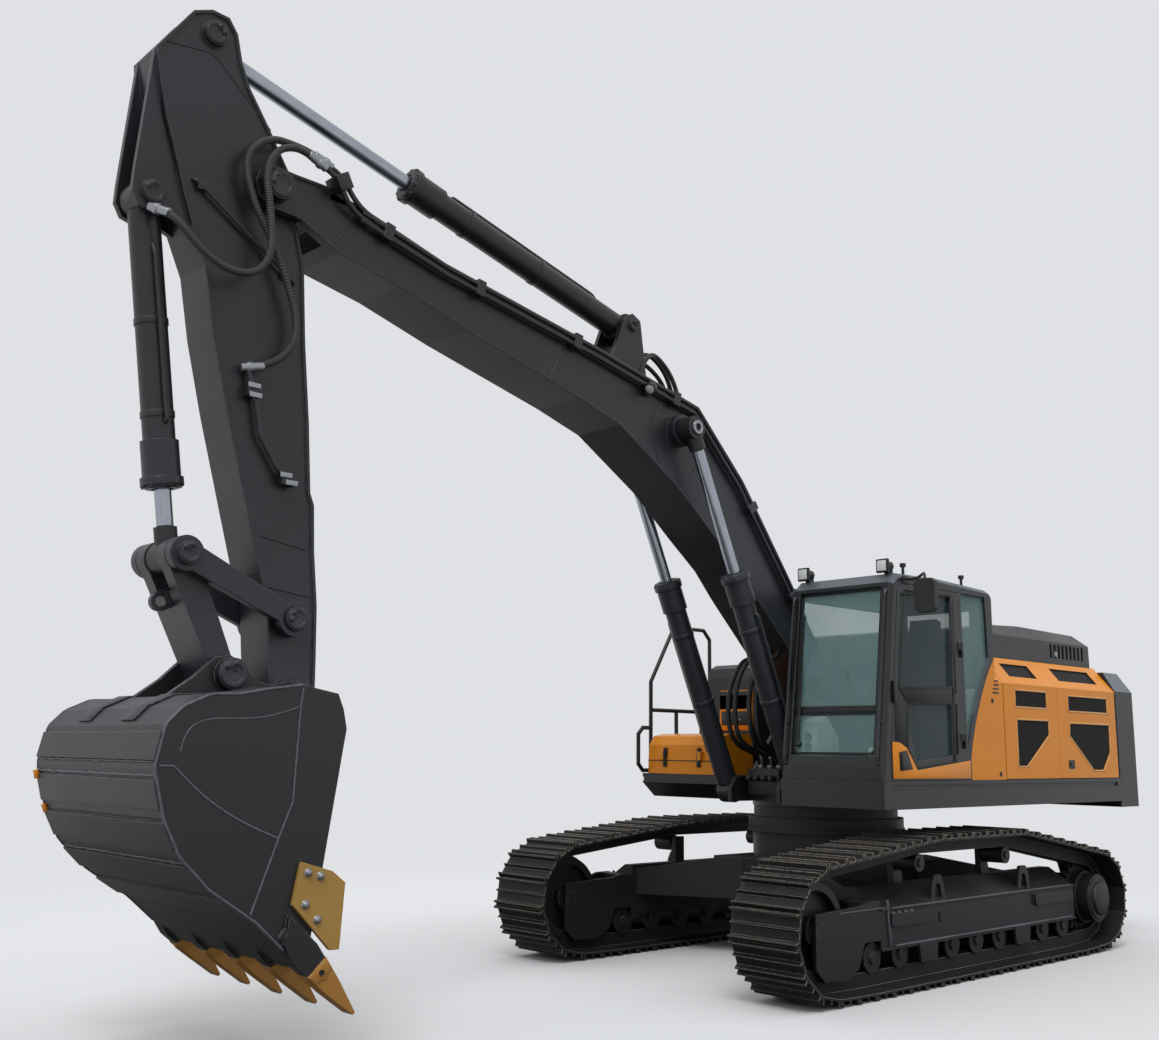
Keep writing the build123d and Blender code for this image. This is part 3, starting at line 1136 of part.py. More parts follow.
def side_cutters():
    """Bolted wear plates on the front edge of the side plates."""
    outline = [(5892, 1120), (5695, 1062), (5609, 996), (5631, 640), (5688, 640), (5934, 895)]
    plate = prism_y(outline, BUCKET_HALF_WIDTH, BUCKET_HALF_WIDTH + 30)
    return apart([plate, mirrored(plate)])


# name, foot, eye, y, barrel radius, barrel end, gland radius, gland length, rod radius, half width at eye
CYLINDERS = (
    ("boom_cylinder_left", BOOM_CYLINDER_FOOT, BOOM_CYLINDER_EYE, BOOM_CYLINDER_Y,
     92, 1950, 108, 260, 50, 62),
    ("boom_cylinder_right", BOOM_CYLINDER_FOOT, BOOM_CYLINDER_EYE, -BOOM_CYLINDER_Y,
     92, 1950, 108, 260, 50, 62),
    ("stick_cylinder", STICK_CYLINDER_FOOT, STICK_CYLINDER_EYE, 0, 100, 2230, 118, 280, 55, 90),
    ("bucket_cylinder", BUCKET_CYLINDER_HEAD, LINK_PIN, 0, 95, 1760, 112, 280, 50, 80),
)


def cylinder(foot, eye, y, barrel_radius, barrel_end, gland_radius, gland_length, rod_radius, eye_half):
    """Barrel and rod of one hydraulic cylinder."""
    length = hypot(eye[0] - foot[0], eye[1] - foot[1])
    tilt = degrees(atan2(eye[0] - foot[0], eye[1] - foot[1]))
    place = Pos(foot[0], y, foot[1]) * Rot(0, tilt, 0)
    tall = (Align.CENTER, Align.CENTER, Align.MIN)
    outer = Pos(0, 0, 85) * Cylinder(barrel_radius, barrel_end - 85, align=tall)
    outer += Pos(0, 0, barrel_end - gland_length) * Cylinder(gland_radius, gland_length, align=tall)
    outer += Rot(90, 0, 0) * Cylinder(barrel_radius + 14, 2 * eye_half)
    outer -= Rot(90, 0, 0) * Cylinder(CYLINDER_PIN + SEAT_GAP, 4 * eye_half)
    outer -= Pos(0, 0, 160) * Cylinder(rod_radius + SEAT_GAP, barrel_end, align=tall)
    reach = barrel_end - 180
    inner = Pos(0, 0, length - reach) * Cylinder(rod_radius, reach - rod_radius, align=tall)
    knuckle = Pos(0, 0, length) * Rot(90, 0, 0) * Cylinder(rod_radius + 48, 2 * eye_half)
    stub = Pos(0, 0, length - rod_radius - 130) * Cylinder(rod_radius + 18, 120, align=tall)
    rod = inner + knuckle + stub
    return place * outer, place * rod


# ---- build every sub-part ----
middle = TRACK_GAUGE / 2
loop = track()
frame_side = track_frame()
lower = lower_rollers() + carrier_rollers()
for name, shape in (
    ("track", loop),
    ("track_frame", frame_side),
    ("idler", idler()),
    ("sprocket", sprocket()),
):
    left = Pos(0, middle, 0) * shape
    save(name + "_left", left)
    save(name + "_right", mirrored(left))
rollers = apart([Pos(0, middle, 0) * r for r in lower])
save("track_rollers_left", rollers)
save("track_rollers_right", apart([mirrored(Pos(0, middle, 0) * r) for r in lower]))
save("carbody", carbody())
save("slew_bearing", bearing_ring())

save("main_frame", main_frame())
save("counterweight", counterweight())
save("engine_block", engine_block())
save("machinery_house", house())
save("engine_hood", engine_hood())
save("sweep_panel", sweep_panel())
for name, shape in (("door_front", front_side_door()), ("door_rear", rear_side_door())):
    save("side_" + name + "_left", shape)
    save("side_" + name + "_right", mirrored(shape))
save("cab_frame", cab_frame())
save("cab_door", cab_door())
save("cab_glass", cab_glass())
save("door_glass", door_glass())
save("operator_chair", operator_chair())
save("cab_lamps", cab_lamps())
save("mirror", wing_mirror())
save("tool_box", tool_box())
save("tool_box_lid", tool_box_lid())
save("tank", tank())
save("handrails", handrails())

save("boom", boom())
save("boom_pipes", both_sides(boom_pipes()))
save("stick_pipes", stick_pipes())
save("stick", stick())
save("side_links", side_links())
save("bucket_link", h_link())
save("bucket", bucket())
save("bucket_teeth", bucket_teeth())
save("side_cutters", side_cutters())
for name, *sizes in CYLINDERS:
    barrel, rod = cylinder(*sizes)
    save(name + "_barrel", barrel)
    save(name + "_rod", rod)
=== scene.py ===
import math

import bpy
from mathutils import Euler, Matrix, Vector


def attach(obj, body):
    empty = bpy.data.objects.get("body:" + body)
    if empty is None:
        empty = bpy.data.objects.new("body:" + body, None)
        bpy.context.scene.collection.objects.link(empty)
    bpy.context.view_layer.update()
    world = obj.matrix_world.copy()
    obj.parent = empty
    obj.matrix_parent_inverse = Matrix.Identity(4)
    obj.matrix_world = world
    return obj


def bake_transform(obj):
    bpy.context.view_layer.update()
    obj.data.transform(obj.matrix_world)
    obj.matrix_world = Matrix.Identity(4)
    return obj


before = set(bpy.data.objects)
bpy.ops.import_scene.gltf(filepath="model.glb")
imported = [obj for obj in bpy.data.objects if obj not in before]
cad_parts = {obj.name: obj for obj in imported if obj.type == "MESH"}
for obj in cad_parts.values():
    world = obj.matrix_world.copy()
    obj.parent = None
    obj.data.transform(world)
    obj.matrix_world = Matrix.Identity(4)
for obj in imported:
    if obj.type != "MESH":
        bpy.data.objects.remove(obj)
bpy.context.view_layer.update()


# ---- Stage ----
# A plain pale floor that fades into a plain pale backdrop, an even soft light with one wide lamp from above,
# and the camera low on the machine's left front, where the bucket comes towards it.
scene = bpy.context.scene
scene.view_settings.view_transform = "Standard"
BACKDROP = (0.74, 0.755, 0.775, 1.0)
FLOOR_BOUNCE = (0.16, 0.165, 0.17, 1.0)
SKY_BELOW, SKY_ABOVE = 0.16, 0.9
LAMP_STRENGTH = 1.12
CAMERA_PLACE = (9.633, 7.051, 1.736)
CAMERA_YAW, CAMERA_TILT, CAMERA_ROLL = (math.radians(turn) for turn in (137.12047, 100.3705, 0.6875))
FADE_START, FADE_END = 4.5, 10.5

room = bpy.data.worlds.new("room")
scene.world = room
room.use_nodes = True
room_nodes, room_links = room.node_tree.nodes, room.node_tree.links
room_nodes.clear()
daylight = room_nodes.new("ShaderNodeBackground")
daylight.inputs["Color"].default_value = (1.0, 1.0, 1.0, 1.0)
skyward = room_nodes.new("ShaderNodeTexCoord")
height = room_nodes.new("ShaderNodeSeparateXYZ")
falloff = room_nodes.new("ShaderNodeMapRange")
falloff.inputs["From Min"].default_value = -0.25
falloff.inputs["From Max"].default_value = 0.75
falloff.inputs["To Min"].default_value = SKY_BELOW
falloff.inputs["To Max"].default_value = SKY_ABOVE
room_links.new(skyward.outputs["Generated"], height.inputs[0])
room_links.new(height.outputs["Z"], falloff.inputs["Value"])
room_links.new(falloff.outputs[0], daylight.inputs["Strength"])
backdrop = room_nodes.new("ShaderNodeBackground")
backdrop.inputs["Color"].default_value = BACKDROP
backdrop.inputs["Strength"].default_value = 1.0
ray = room_nodes.new("ShaderNodeLightPath")
seen = room_nodes.new("ShaderNodeMath")
seen.operation = "MAXIMUM"
seen_through = room_nodes.new("ShaderNodeMath")
seen_through.operation = "MAXIMUM"
sky = room_nodes.new("ShaderNodeMixShader")
room_out = room_nodes.new("ShaderNodeOutputWorld")
room_links.new(ray.outputs["Is Camera Ray"], seen.inputs[0])
room_links.new(ray.outputs["Is Glossy Ray"], seen.inputs[1])
room_links.new(seen.outputs[0], seen_through.inputs[0])
room_links.new(ray.outputs["Is Transmission Ray"], seen_through.inputs[1])
room_links.new(seen_through.outputs[0], sky.inputs[0])
room_links.new(daylight.outputs[0], sky.inputs[1])
room_links.new(backdrop.outputs[0], sky.inputs[2])
room_links.new(sky.outputs[0], room_out.inputs["Surface"])

sun_lamp = bpy.data.lights.new("overhead", "SUN")
sun_lamp.energy = LAMP_STRENGTH
sun_lamp.angle = math.radians(28)
overhead = bpy.data.objects.new("overhead", sun_lamp)
overhead.rotation_euler = Euler((math.radians(32), math.radians(-14), math.radians(150)))
scene.collection.objects.link(overhead)

eye = bpy.data.cameras.new("viewpoint")
eye.lens = 39.142
eye.sensor_width = 36
eye.clip_end = 200
viewpoint = bpy.data.objects.new("viewpoint", eye)
aim = Matrix.Rotation(CAMERA_YAW, 4, "Z") @ Matrix.Rotation(CAMERA_TILT, 4, "X")
viewpoint.matrix_world = Matrix.Translation(CAMERA_PLACE) @ aim @ Matrix.Rotation(CAMERA_ROLL, 4, "Z")
scene.collection.objects.link(viewpoint)
scene.camera = viewpoint

bpy.ops.object.select_all(action="DESELECT")
bpy.ops.mesh.primitive_circle_add(vertices=96, radius=16, fill_type="NGON", location=(1.5, 0, 0))
floor = bpy.context.object
floor.name = "floor"
floor_finish = bpy.data.materials.new("pale_floor")
floor_finish.use_nodes = True
fn, fl = floor_finish.node_tree.nodes, floor_finish.node_tree.links
floor_skin = fn["Principled BSDF"]
floor_ray = fn.new("ShaderNodeLightPath")
shown_pale = fn.new("ShaderNodeMix")
shown_pale.data_type = "RGBA"
shown_pale.inputs[6].default_value = FLOOR_BOUNCE
shown_pale.inputs[7].default_value = BACKDROP
fl.new(floor_ray.outputs["Is Camera Ray"], shown_pale.inputs[0])
fl.new(shown_pale.outputs[2], floor_skin.inputs["Base Color"])
floor_skin.inputs["Roughness"].default_value = 0.95
floor_skin.inputs["Specular IOR Level"].default_value = 0.0
reach = fn.new("ShaderNodeTexCoord")
distance = fn.new("ShaderNodeVectorMath")
distance.operation = "LENGTH"
fade = fn.new("ShaderNodeMapRange")
fade.interpolation_type = "SMOOTHSTEP"
fade.inputs["From Min"].default_value = FADE_START
fade.inputs["From Max"].default_value = FADE_END
clear = fn.new("ShaderNodeBsdfTransparent")
carpet = fn.new("ShaderNodeMixShader")
fl.new(reach.outputs["Object"], distance.inputs[0])
fl.new(distance.outputs["Value"], fade.inputs["Value"])
fl.new(fade.outputs[0], carpet.inputs[0])
fl.new(floor_skin.outputs[0], carpet.inputs[1])
fl.new(clear.outputs[0], carpet.inputs[2])
fl.new(carpet.outputs[0], fn["Material Output"].inputs["Surface"])
floor.data.materials.append(floor_finish)


# ---- Undercarriage frames ----
# The carbody, the fixed bearing race and the two track frames are welded from steel plate and sprayed
# charcoal. They carry road dust and a painted top light on what faces up, and their edges are rubbed bare and
# painted pale as highlights.
class Shade:
    """A value inside a finish, so that a finish can be written as sums."""

    def __init__(self, tree, socket=None):
        self.tree = tree
        self.socket = socket

    def node(self, kind, inputs=None, output=0, stops=None, **settings):
        """One node of any kind: its settings first, then its sockets' values or links."""
        made = self.tree.nodes.new(kind)
        for name, value in settings.items():
            setattr(made, name, value)
        for place, (position, colour) in enumerate(stops or ()):
            stop = made.color_ramp.elements[place] if place < 2 else made.color_ramp.elements.new(position)
            stop.position, stop.color = position, colour
        for name, value in (inputs or {}).items():
            if isinstance(value, Shade):
                self.tree.links.new(value.socket, made.inputs[name])
            else:
                made.inputs[name].default_value = value
        return Shade(self.tree, made.outputs[output])

    def sum(self, operation, first, second=0.0):
        return self.node("ShaderNodeMath", {0: first, 1: second}, operation=operation)

    def __add__(self, other):
        return self.sum("ADD", self, other)

    def __sub__(self, other):
        return self.sum("SUBTRACT", self, other)

    def __rsub__(self, other):
        return self.sum("SUBTRACT", other, self)

    def __mul__(self, other):
        return self.sum("MULTIPLY", self, other)

    __radd__ = __add__

    def band(self, low, high):
        """0 below low and 1 above high, with an even rise between."""
        return self.node("ShaderNodeMapRange", {"Value": self, "From Min": low, "From Max": high})

    def blend(self, share, other):
        """This colour, turned to another one by a share."""
        return self.node("ShaderNodeMix", {0: share, 6: self, 7: other}, output=2, data_type="RGBA")

    def noise(self, scale, detail=3.0, stretch=(1.0, 1.0, 1.0)):
        """Cloudy noise on these coordinates, of so many swells to the metre."""
        spread = self.node("ShaderNodeMapping", {"Vector": self, "Scale": stretch})
        return self.node("ShaderNodeTexNoise", {"Vector": spread, "Scale": scale, "Detail": detail})

    def axis(self, name):
        return self.node("ShaderNodeSeparateXYZ", {0: self}, output=name)


def new_finish(name):
    """A fresh finish: the material, its place coordinates and its shader."""
    material = bpy.data.materials.new(name)
    material.use_nodes = True
    place = Shade(material.node_tree).node("ShaderNodeTexCoord", output="Object")
    return material, place, material.node_tree.nodes["Principled BSDF"]


def feed(shader, **sockets):
    """Joins shades to a shader's sockets; a plain value is set on the socket itself."""
    for name, value in sockets.items():
        socket = shader.inputs[name.replace("_", " ")]
        if isinstance(value, Shade):
            value.tree.links.new(value.socket, socket)
        else:
            socket.default_value = value


def flat_colour(place, colour):
    """A colour as a shade, so that others can be laid over it."""
    return place.node("ShaderNodeMix", {0: 0.0, 6: (*colour, 1.0), 7: (*colour, 1.0)}, output=2,
                      data_type="RGBA")


def edge_shades(place, radius):
    """The normal, the normal rounded over edges, and their agreement, which is 1 away from every edge."""
    normal = place.node("ShaderNodeNewGeometry", output="Normal")
    rounded = place.node("ShaderNodeBevel", {"Radius": radius}, samples=5)
    along = place.node("ShaderNodeVectorMath", {0: rounded, 1: normal}, output="Value",
                       operation="DOT_PRODUCT")
    return normal, rounded, along


def sprayed(name, colour, roughness, edge_wear_and_highlight=(0.13, 0.137, 0.15), dust_and_top_light=0.2, rub_and_highlight=0.5, coat=0.0, round_off=0.007,
            top_dust_and_light_colour=(0.12, 0.126, 0.14), metal=0.0, sheen=0.0):
    """Sprayed paint on steel: cloudy tone, faint peel, dust and a painted top light on top faces, edges
    rounded, rubbed and painted pale as highlights.
    """
    material, place, shader = new_finish(name)
    normal, rounded, along = edge_shades(place, round_off)
    cloud = place.noise(1.4, 5.0)
    speck = place.noise(38.0, 4.0)
    # Edges turn towards the edge colour: partly rubbed paint, partly a painted highlight.
    rubbed_and_lit_edges = ((1 - along) * 9.0).band(0.12, 0.9) * speck.band(0.38, 0.62) * rub_and_highlight
    # Top faces turn towards the dust colour: partly dust, partly a painted highlight of the light from above.
    dusty_lit_top = normal.axis("Z").band(0.35, 0.95) * cloud.band(0.35, 0.7) * dust_and_top_light
    tone = flat_colour(place, tuple(c * 0.86 for c in colour)).blend(cloud.band(0.3, 0.7), (*colour, 1.0))
    tone = tone.blend(place.noise(0.33, 2.0).band(0.42, 0.66) * sheen, (0.042, 0.049, 0.062, 1.0))
    tone = tone.blend(dusty_lit_top, (*top_dust_and_light_colour, 1.0)).blend(rubbed_and_lit_edges, (*edge_wear_and_highlight, 1.0))
    peel = place.noise(240.0, 2.0)
    bump = place.node("ShaderNodeBump", {"Strength": 0.05, "Distance": 0.002, "Height": peel,
                                         "Normal": rounded})
    feed(shader, Base_Color=tone, Normal=bump,
         Roughness=roughness + (cloud - 0.5) * 0.16 + dusty_lit_top * 0.5 + speck.band(0.5, 0.8) * 0.05)
    shader.inputs["Metallic"].default_value = metal
    shader.inputs["Coat Weight"].default_value = coat
    shader.inputs["Coat Roughness"].default_value = 0.12
    return material


def dress(node, *materials):
    """Gives a CAD node its finish."""
    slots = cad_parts[node].data.materials
    slots.clear()
    for material in materials:
        slots.append(material)


CHARCOAL = (0.0155, 0.0165, 0.0195)
EARTH = (0.085, 0.072, 0.058)
chassis_paint = sprayed("chassis_paint", (0.013, 0.0135, 0.015), 0.5, dust_and_top_light=0.55, rub_and_highlight=0.7,
                        top_dust_and_light_colour=(0.09, 0.087, 0.085))
for node in ("carbody", "slew_bearing", "track_frame_left", "track_frame_right"):
    dress(node, chassis_paint)


def settled(name, finish, body, slot, soften=0.0):
    """Names the piece in hand, softens its edges, and gives it its finish and the body it is fixed to."""
    piece = bpy.context.object
    piece.name = name
    bpy.ops.object.transform_apply(location=True, rotation=True, scale=True)
    if soften:
        bevel = piece.modifiers.new("soften", "BEVEL")
        bevel.width, bevel.segments = soften, 2
        bevel.limit_method, bevel.angle_limit = "ANGLE", math.radians(30)
        bpy.ops.object.modifier_apply(modifier="soften")
    piece.data.materials.clear()
    piece.data.materials.append(finish)
    bpy.ops.object.shade_smooth_by_angle(angle=math.radians(35))
    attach(piece, body)
    return piece


def drawn_line(spots):
    """Draws a line of edges through some places, in edit mode, with the whole line selected at the end."""
    bpy.ops.object.select_all(action="DESELECT")
    bpy.ops.mesh.primitive_plane_add(size=0.01, location=spots[0])
    bpy.ops.object.mode_set(mode="EDIT")
    bpy.ops.mesh.merge(type="CENTER")
    for here, there in zip(spots, spots[1:]):
        bpy.ops.mesh.extrude_region_move(TRANSFORM_OT_translate={"value": Vector(there) - Vector(here)})
    bpy.ops.mesh.select_all(action="SELECT")


def traced(corners, thickness):
    """A flat plate: its outline drawn from corner to corner, filled, and given its thickness."""
    drawn_line(corners)
    bpy.ops.mesh.edge_face_add()
    bpy.ops.mesh.extrude_region_move(TRANSFORM_OT_translate={"value": thickness})
    bpy.ops.mesh.select_all(action="SELECT")
    bpy.ops.mesh.normals_make_consistent(inside=False)
    bpy.ops.object.mode_set(mode="OBJECT")
    return bpy.context.object


def turned(profile, centre, axis, steps=32):
    """A turned part: stations of distance along the axis and radius, spun about the axis."""
    axis, centre = Vector(axis).normalized(), Vector(centre)
    out = axis.orthogonal().normalized()
    drawn_line([centre + axis * along + out * radius for along, radius in profile])
    bpy.ops.mesh.spin(steps=steps, angle=math.tau, center=centre, axis=axis)
    bpy.ops.mesh.select_all(action="SELECT")
    bpy.ops.mesh.remove_doubles(threshold=0.00002)
    bpy.ops.mesh.normals_make_consistent(inside=False)
    bpy.ops.object.mode_set(mode="OBJECT")
    return bpy.context.object


def repeated(places):
    """Copies the piece in hand inside itself, from its first place to each of the others."""
    bpy.ops.object.mode_set(mode="EDIT")
    bpy.ops.mesh.select_all(action="SELECT")
    for here, there in zip(places, places[1:]):
        bpy.ops.mesh.duplicate_move(TRANSFORM_OT_translate={"value": Vector(there) - Vector(here)})
    bpy.ops.object.mode_set(mode="OBJECT")
    return bpy.context.object


def hex_bolts(places, axis, across=0.03):
    """Hexagon bolt heads on their washers."""
    radius = across * 0.577
    turned([(-0.004, 0.0), (-0.004, radius * 1.5), (0.003, radius * 1.5), (0.003, radius),
            (across * 0.6, radius),
            (across * 0.68, radius * 0.8), (across * 0.68, 0.0)], places[0], axis, steps=6)
    return repeated(places)


def assembled(parts):
    """Joins parts modelled one by one into one piece."""
    bpy.ops.object.select_all(action="DESELECT")
    for part in parts:
        part.select_set(True)
    bpy.context.view_layer.objects.active = parts[0]
    bpy.ops.object.join()
    return parts[0]


def joined(parts, *naming):
    """Joins parts into one piece and settles it."""
    assembled(parts)
    return settled(*naming)


def facing_x(x, y_a, y_b, z_a, z_b, thickness):
    """An upright rectangle across the machine, thickened along x."""
    return traced([(x, y_a, z_a), (x, y_b, z_a), (x, y_b, z_b), (x, y_a, z_b)], (thickness, 0, 0))


def facing_y(y, corners, thickness):
    """A plate in the plane of the arm: its corners as (x, z), thickened along y."""
    return traced([(x, y, z) for x, z in corners], (0, thickness, 0))


SIDES = ((1, "left"), (-1, "right"))
bolt_steel = sprayed("bolt_steel", (0.20, 0.20, 0.20), 0.35, edge_wear_and_highlight=(0.5, 0.5, 0.5), dust_and_top_light=0.2, rub_and_highlight=0.8,
                     metal=0.6)
# The ledges and the front rib are in a pale copy of the frame's charcoal: painted highlights along them.
ledge_highlight_paint = sprayed("ledge_highlight_paint", (0.085, 0.092, 0.108), 0.4, edge_wear_and_highlight=(0.30, 0.32, 0.36), dust_and_top_light=0.9, rub_and_highlight=0.8,
                      top_dust_and_light_colour=(0.20, 0.215, 0.25))
for side, name in SIDES:
    hex_bolts([(0.92 + 0.085 * step, side * 1.456, 0.555) for step in range(4)], (0, side, 0), 0.026)
    settled(f"track_frame_bolts_{name}", bolt_steel, "undercarriage", "worn_steel")
    ledges = []
    for z, x_front in ((0.592, 1.20), (0.318, 1.16)):
        ledges.append(facing_y(side * 1.453, [(x_front, z), (-1.64, z), (-1.64, z + 0.014),
                                              (x_front, z + 0.014)], side * 0.022))
    ledges.append(facing_y(side * 1.452, [(1.205, 0.32), (1.228, 0.32), (1.262, 0.66), (1.238, 0.66)],
                           side * 0.016))
    ledges.append(facing_y(side * 1.453, [(1.262, 0.600), (1.85, 0.600), (1.85, 0.612), (1.262, 0.612)],
                           side * 0.008))
    joined(ledges, f"track_frame_ledges_{name}", ledge_highlight_paint, "undercarriage", "charcoal_paint", 0.003)


# ---- Tracks ----
# Each track is a belt of forged links with triple-grouser shoes. Bare steel: dark and earthy in the
# hollows, scrubbed pale on the grouser ribs that meet the ground.
def bare_track(name):
    """Steel that has walked: dull in the low places, pale along its ribs."""
    material, place, shader = new_finish(name)
    _, rounded, along = edge_shades(place, 0.007)
    cloud = place.noise(3.5, 6.0)
    grit = place.noise(55.0, 6.0)
    rib = ((1 - along) * 7.0).band(0.1, 0.7) * grit.band(0.3, 0.55)
    tone = flat_colour(place, (0.0115, 0.0115, 0.012)).blend(cloud.band(0.5, 0.72) * 0.4,
                                                             (0.036, 0.030, 0.025, 1.0))
    tone = tone.blend(grit.band(0.58, 0.85) * 0.5, (0.075, 0.068, 0.060, 1.0))
    tone = tone.blend(rib * 0.9, (0.52, 0.44, 0.36, 1.0))
    bump = place.node("ShaderNodeBump", {"Strength": 0.25, "Distance": 0.003, "Height": grit,
                                         "Normal": rounded})
    feed(shader, Base_Color=tone, Normal=bump, Roughness=0.6 - rib * 0.2 + (grit - 0.5) * 0.2,
         Metallic=0.2 + rib * 0.3)
    return material


track_steel = bare_track("track_steel")
for node in ("track_left", "track_right"):
    dress(node, track_steel)


# ---- Idlers, sprockets and rollers ----
# Cast wheels and forged rollers, painted with the undercarriage and polished where the links run on them.
# A pressed cap closes each final drive.
wheel_paint = sprayed("wheel_paint", (0.014, 0.014, 0.015), 0.48, edge_wear_and_highlight=(0.24, 0.225, 0.2), dust_and_top_light=0.45, rub_and_highlight=0.8,
                      top_dust_and_light_colour=EARTH)
for wheel in ("idler", "sprocket", "track_rollers"):
    for side in ("left", "right"):
        dress(f"{wheel}_{side}", wheel_paint)
for side, name in SIDES:
    hub = (-2.065, side * 1.54, 0.461)
    turned([(-0.004, 0.0), (-0.004, 0.15), (0.008, 0.15), (0.022, 0.142), (0.028, 0.12), (0.032, 0.06),
            (0.033, 0.0)],
           hub, (0, side, 0), 40)
    settled(f"drive_cover_{name}", wheel_paint, "undercarriage", "charcoal_paint")


# ---- Turning deck and counterweight ----
# The deck is a welded frame with a pressed skirt, in satin charcoal. The counterweight is one casting with a
# chamfer at its top that carries a painted sky reflection, in a coarser paint of its own.
satin_charcoal = sprayed("satin_charcoal", CHARCOAL, 0.4, dust_and_top_light=0.35, rub_and_highlight=0.4)
for node in ("main_frame", "machinery_house", "handrails", "tank"):
    dress(node, satin_charcoal)
cast_paint = sprayed("cast_paint", (0.014, 0.015, 0.0175), 0.42, edge_wear_and_highlight=(0.17, 0.18, 0.2), dust_and_top_light=0.6, rub_and_highlight=0.4,
                     round_off=0.02, top_dust_and_light_colour=(0.15, 0.16, 0.18))


def sky_sheen_on_slopes(material, share, colour):
    """Turns the colour of sloping faces, such as chamfers, towards a painted reflection of the pale sky."""
    shader = material.node_tree.nodes["Principled BSDF"]
    tilt = Shade(material.node_tree).node("ShaderNodeNewGeometry", output="Normal").axis("Z")
    sky_sheen_slope = tilt.band(0.2, 0.5) * (1 - tilt.band(0.92, 0.99) * 0.6)
    under = Shade(material.node_tree, shader.inputs["Base Color"].links[0].from_socket)
    feed(shader, Base_Color=under.blend(sky_sheen_slope * share, (*colour, 1.0)))


# The counterweight's chamfer is painted pale blue-grey: a painted sky reflection.
sky_sheen_on_slopes(cast_paint, 0.8, (0.19, 0.215, 0.255))
dress("counterweight", cast_paint)
hood_paint = sprayed("hood_paint", (0.013, 0.014, 0.016), 0.36, dust_and_top_light=0.3, rub_and_highlight=0.4, round_off=0.02)
dress("engine_hood", hood_paint)
dress("engine_block", sprayed("engine_paint", (0.06, 0.06, 0.06), 0.55, dust_and_top_light=0.2, rub_and_highlight=0.3))


# ---- Engine hood fittings ----
# One flush steel latch holds the hood's left flank.
def latch(x, y, z, side, long=0.1, high=0.06):
    """A flush paddle latch: a dished frame with a lever across it."""
    out = Vector((0, side * 0.006, 0))
    frame_plate = traced([(x - long / 2, y, z - high / 2), (x + long / 2, y, z - high / 2),
                          (x + long / 2, y, z + high / 2), (x - long / 2, y, z + high / 2)], out)
    bpy.ops.object.mode_set(mode="EDIT")
    bpy.ops.mesh.select_all(action="DESELECT")
    bpy.ops.object.mode_set(mode="OBJECT")
    for face in frame_plate.data.polygons:
        face.select = face.normal.y * side > 0.9
    bpy.ops.object.mode_set(mode="EDIT")
    bpy.ops.mesh.inset(thickness=0.009, depth=-0.003)
    bpy.ops.object.mode_set(mode="OBJECT")
    lever = traced([(x - long * 0.3, y, z - high * 0.2), (x + long * 0.3, y, z - high * 0.2),
                    (x + long * 0.26, y, z + high * 0.26), (x - long * 0.26, y, z + high * 0.26)], out * 1.7)
    return assembled([frame_plate, lever])


satin_steel = sprayed("satin_steel", (0.36, 0.37, 0.39), 0.3, edge_wear_and_highlight=(0.7, 0.7, 0.7), dust_and_top_light=0.1, rub_and_highlight=0.6,
                      metal=0.85)
latch(-1.995, 1.2795, 2.70, 1, 0.06, 0.045)
settled("hood_latch", satin_steel, "engine_hood", "worn_steel", 0.0015)


# ---- Side doors, sweep panel and tool box ----
# Pressed steel skins in gloss orange enamel. The doors' windows and the sunk panels on their shoulders are
# filled with black mesh.
def enamel(name):
    """Orange enamel, black wherever a surface lies deeper than the skin, as the window mesh does."""
    material, place, shader = new_finish(name)
    _, rounded, along = edge_shades(place, 0.008)
    cloud = place.noise(1.1, 4.0)
    out = place.axis("Y").sum("ABSOLUTE", place.axis("Y"))
    high = place.axis("Z")
    shoulder = (out - 1.5) * 0.768 + (high - 2.36) * 0.64
    above = high.band(2.358, 2.3605)
    depth = (1.4985 - out) * (1 - above) + (0 - shoulder) * above
    black = depth.band(0.0042, 0.0052) * (1 - depth.band(0.038, 0.0385)) * (out.band(1.2, 1.21))
    black = black * (1 - place.axis("X").band(0.2, 0.21))
    # The edges turn pale orange: a painted highlight along every edge.
    rubbed_and_lit_edges = ((1 - along) * 9.0).band(0.1, 0.9) * 0.55
    grime = (1 - high.band(1.55, 1.75)) * cloud.band(0.4, 0.75) * 0.25
    tone = flat_colour(place, (0.84, 0.275, 0.006)).blend(cloud.band(0.3, 0.7), (0.90, 0.31, 0.009, 1.0))
    tone = tone.blend(grime, (0.42, 0.17, 0.03, 1.0)).blend(rubbed_and_lit_edges, (0.96, 0.50, 0.15, 1.0))
    tone = tone.blend(black, (0.010, 0.010, 0.011, 1.0))
    peel = place.noise(180.0, 2.0)
    bump = place.node("ShaderNodeBump", {"Strength": 0.04, "Distance": 0.002, "Height": peel,
                                         "Normal": rounded})
    feed(shader, Base_Color=tone, Normal=bump, Roughness=0.3 + (cloud - 0.5) * 0.1 + black * 0.35 + grime)
    shader.inputs["Specular IOR Level"].default_value = 0.3
    return material


orange_enamel = enamel("orange_enamel")
for node in ("side_door_front_left", "side_door_front_right", "side_door_rear_left", "side_door_rear_right",
             "sweep_panel", "tool_box", "tool_box_lid"):
    dress(node, orange_enamel)

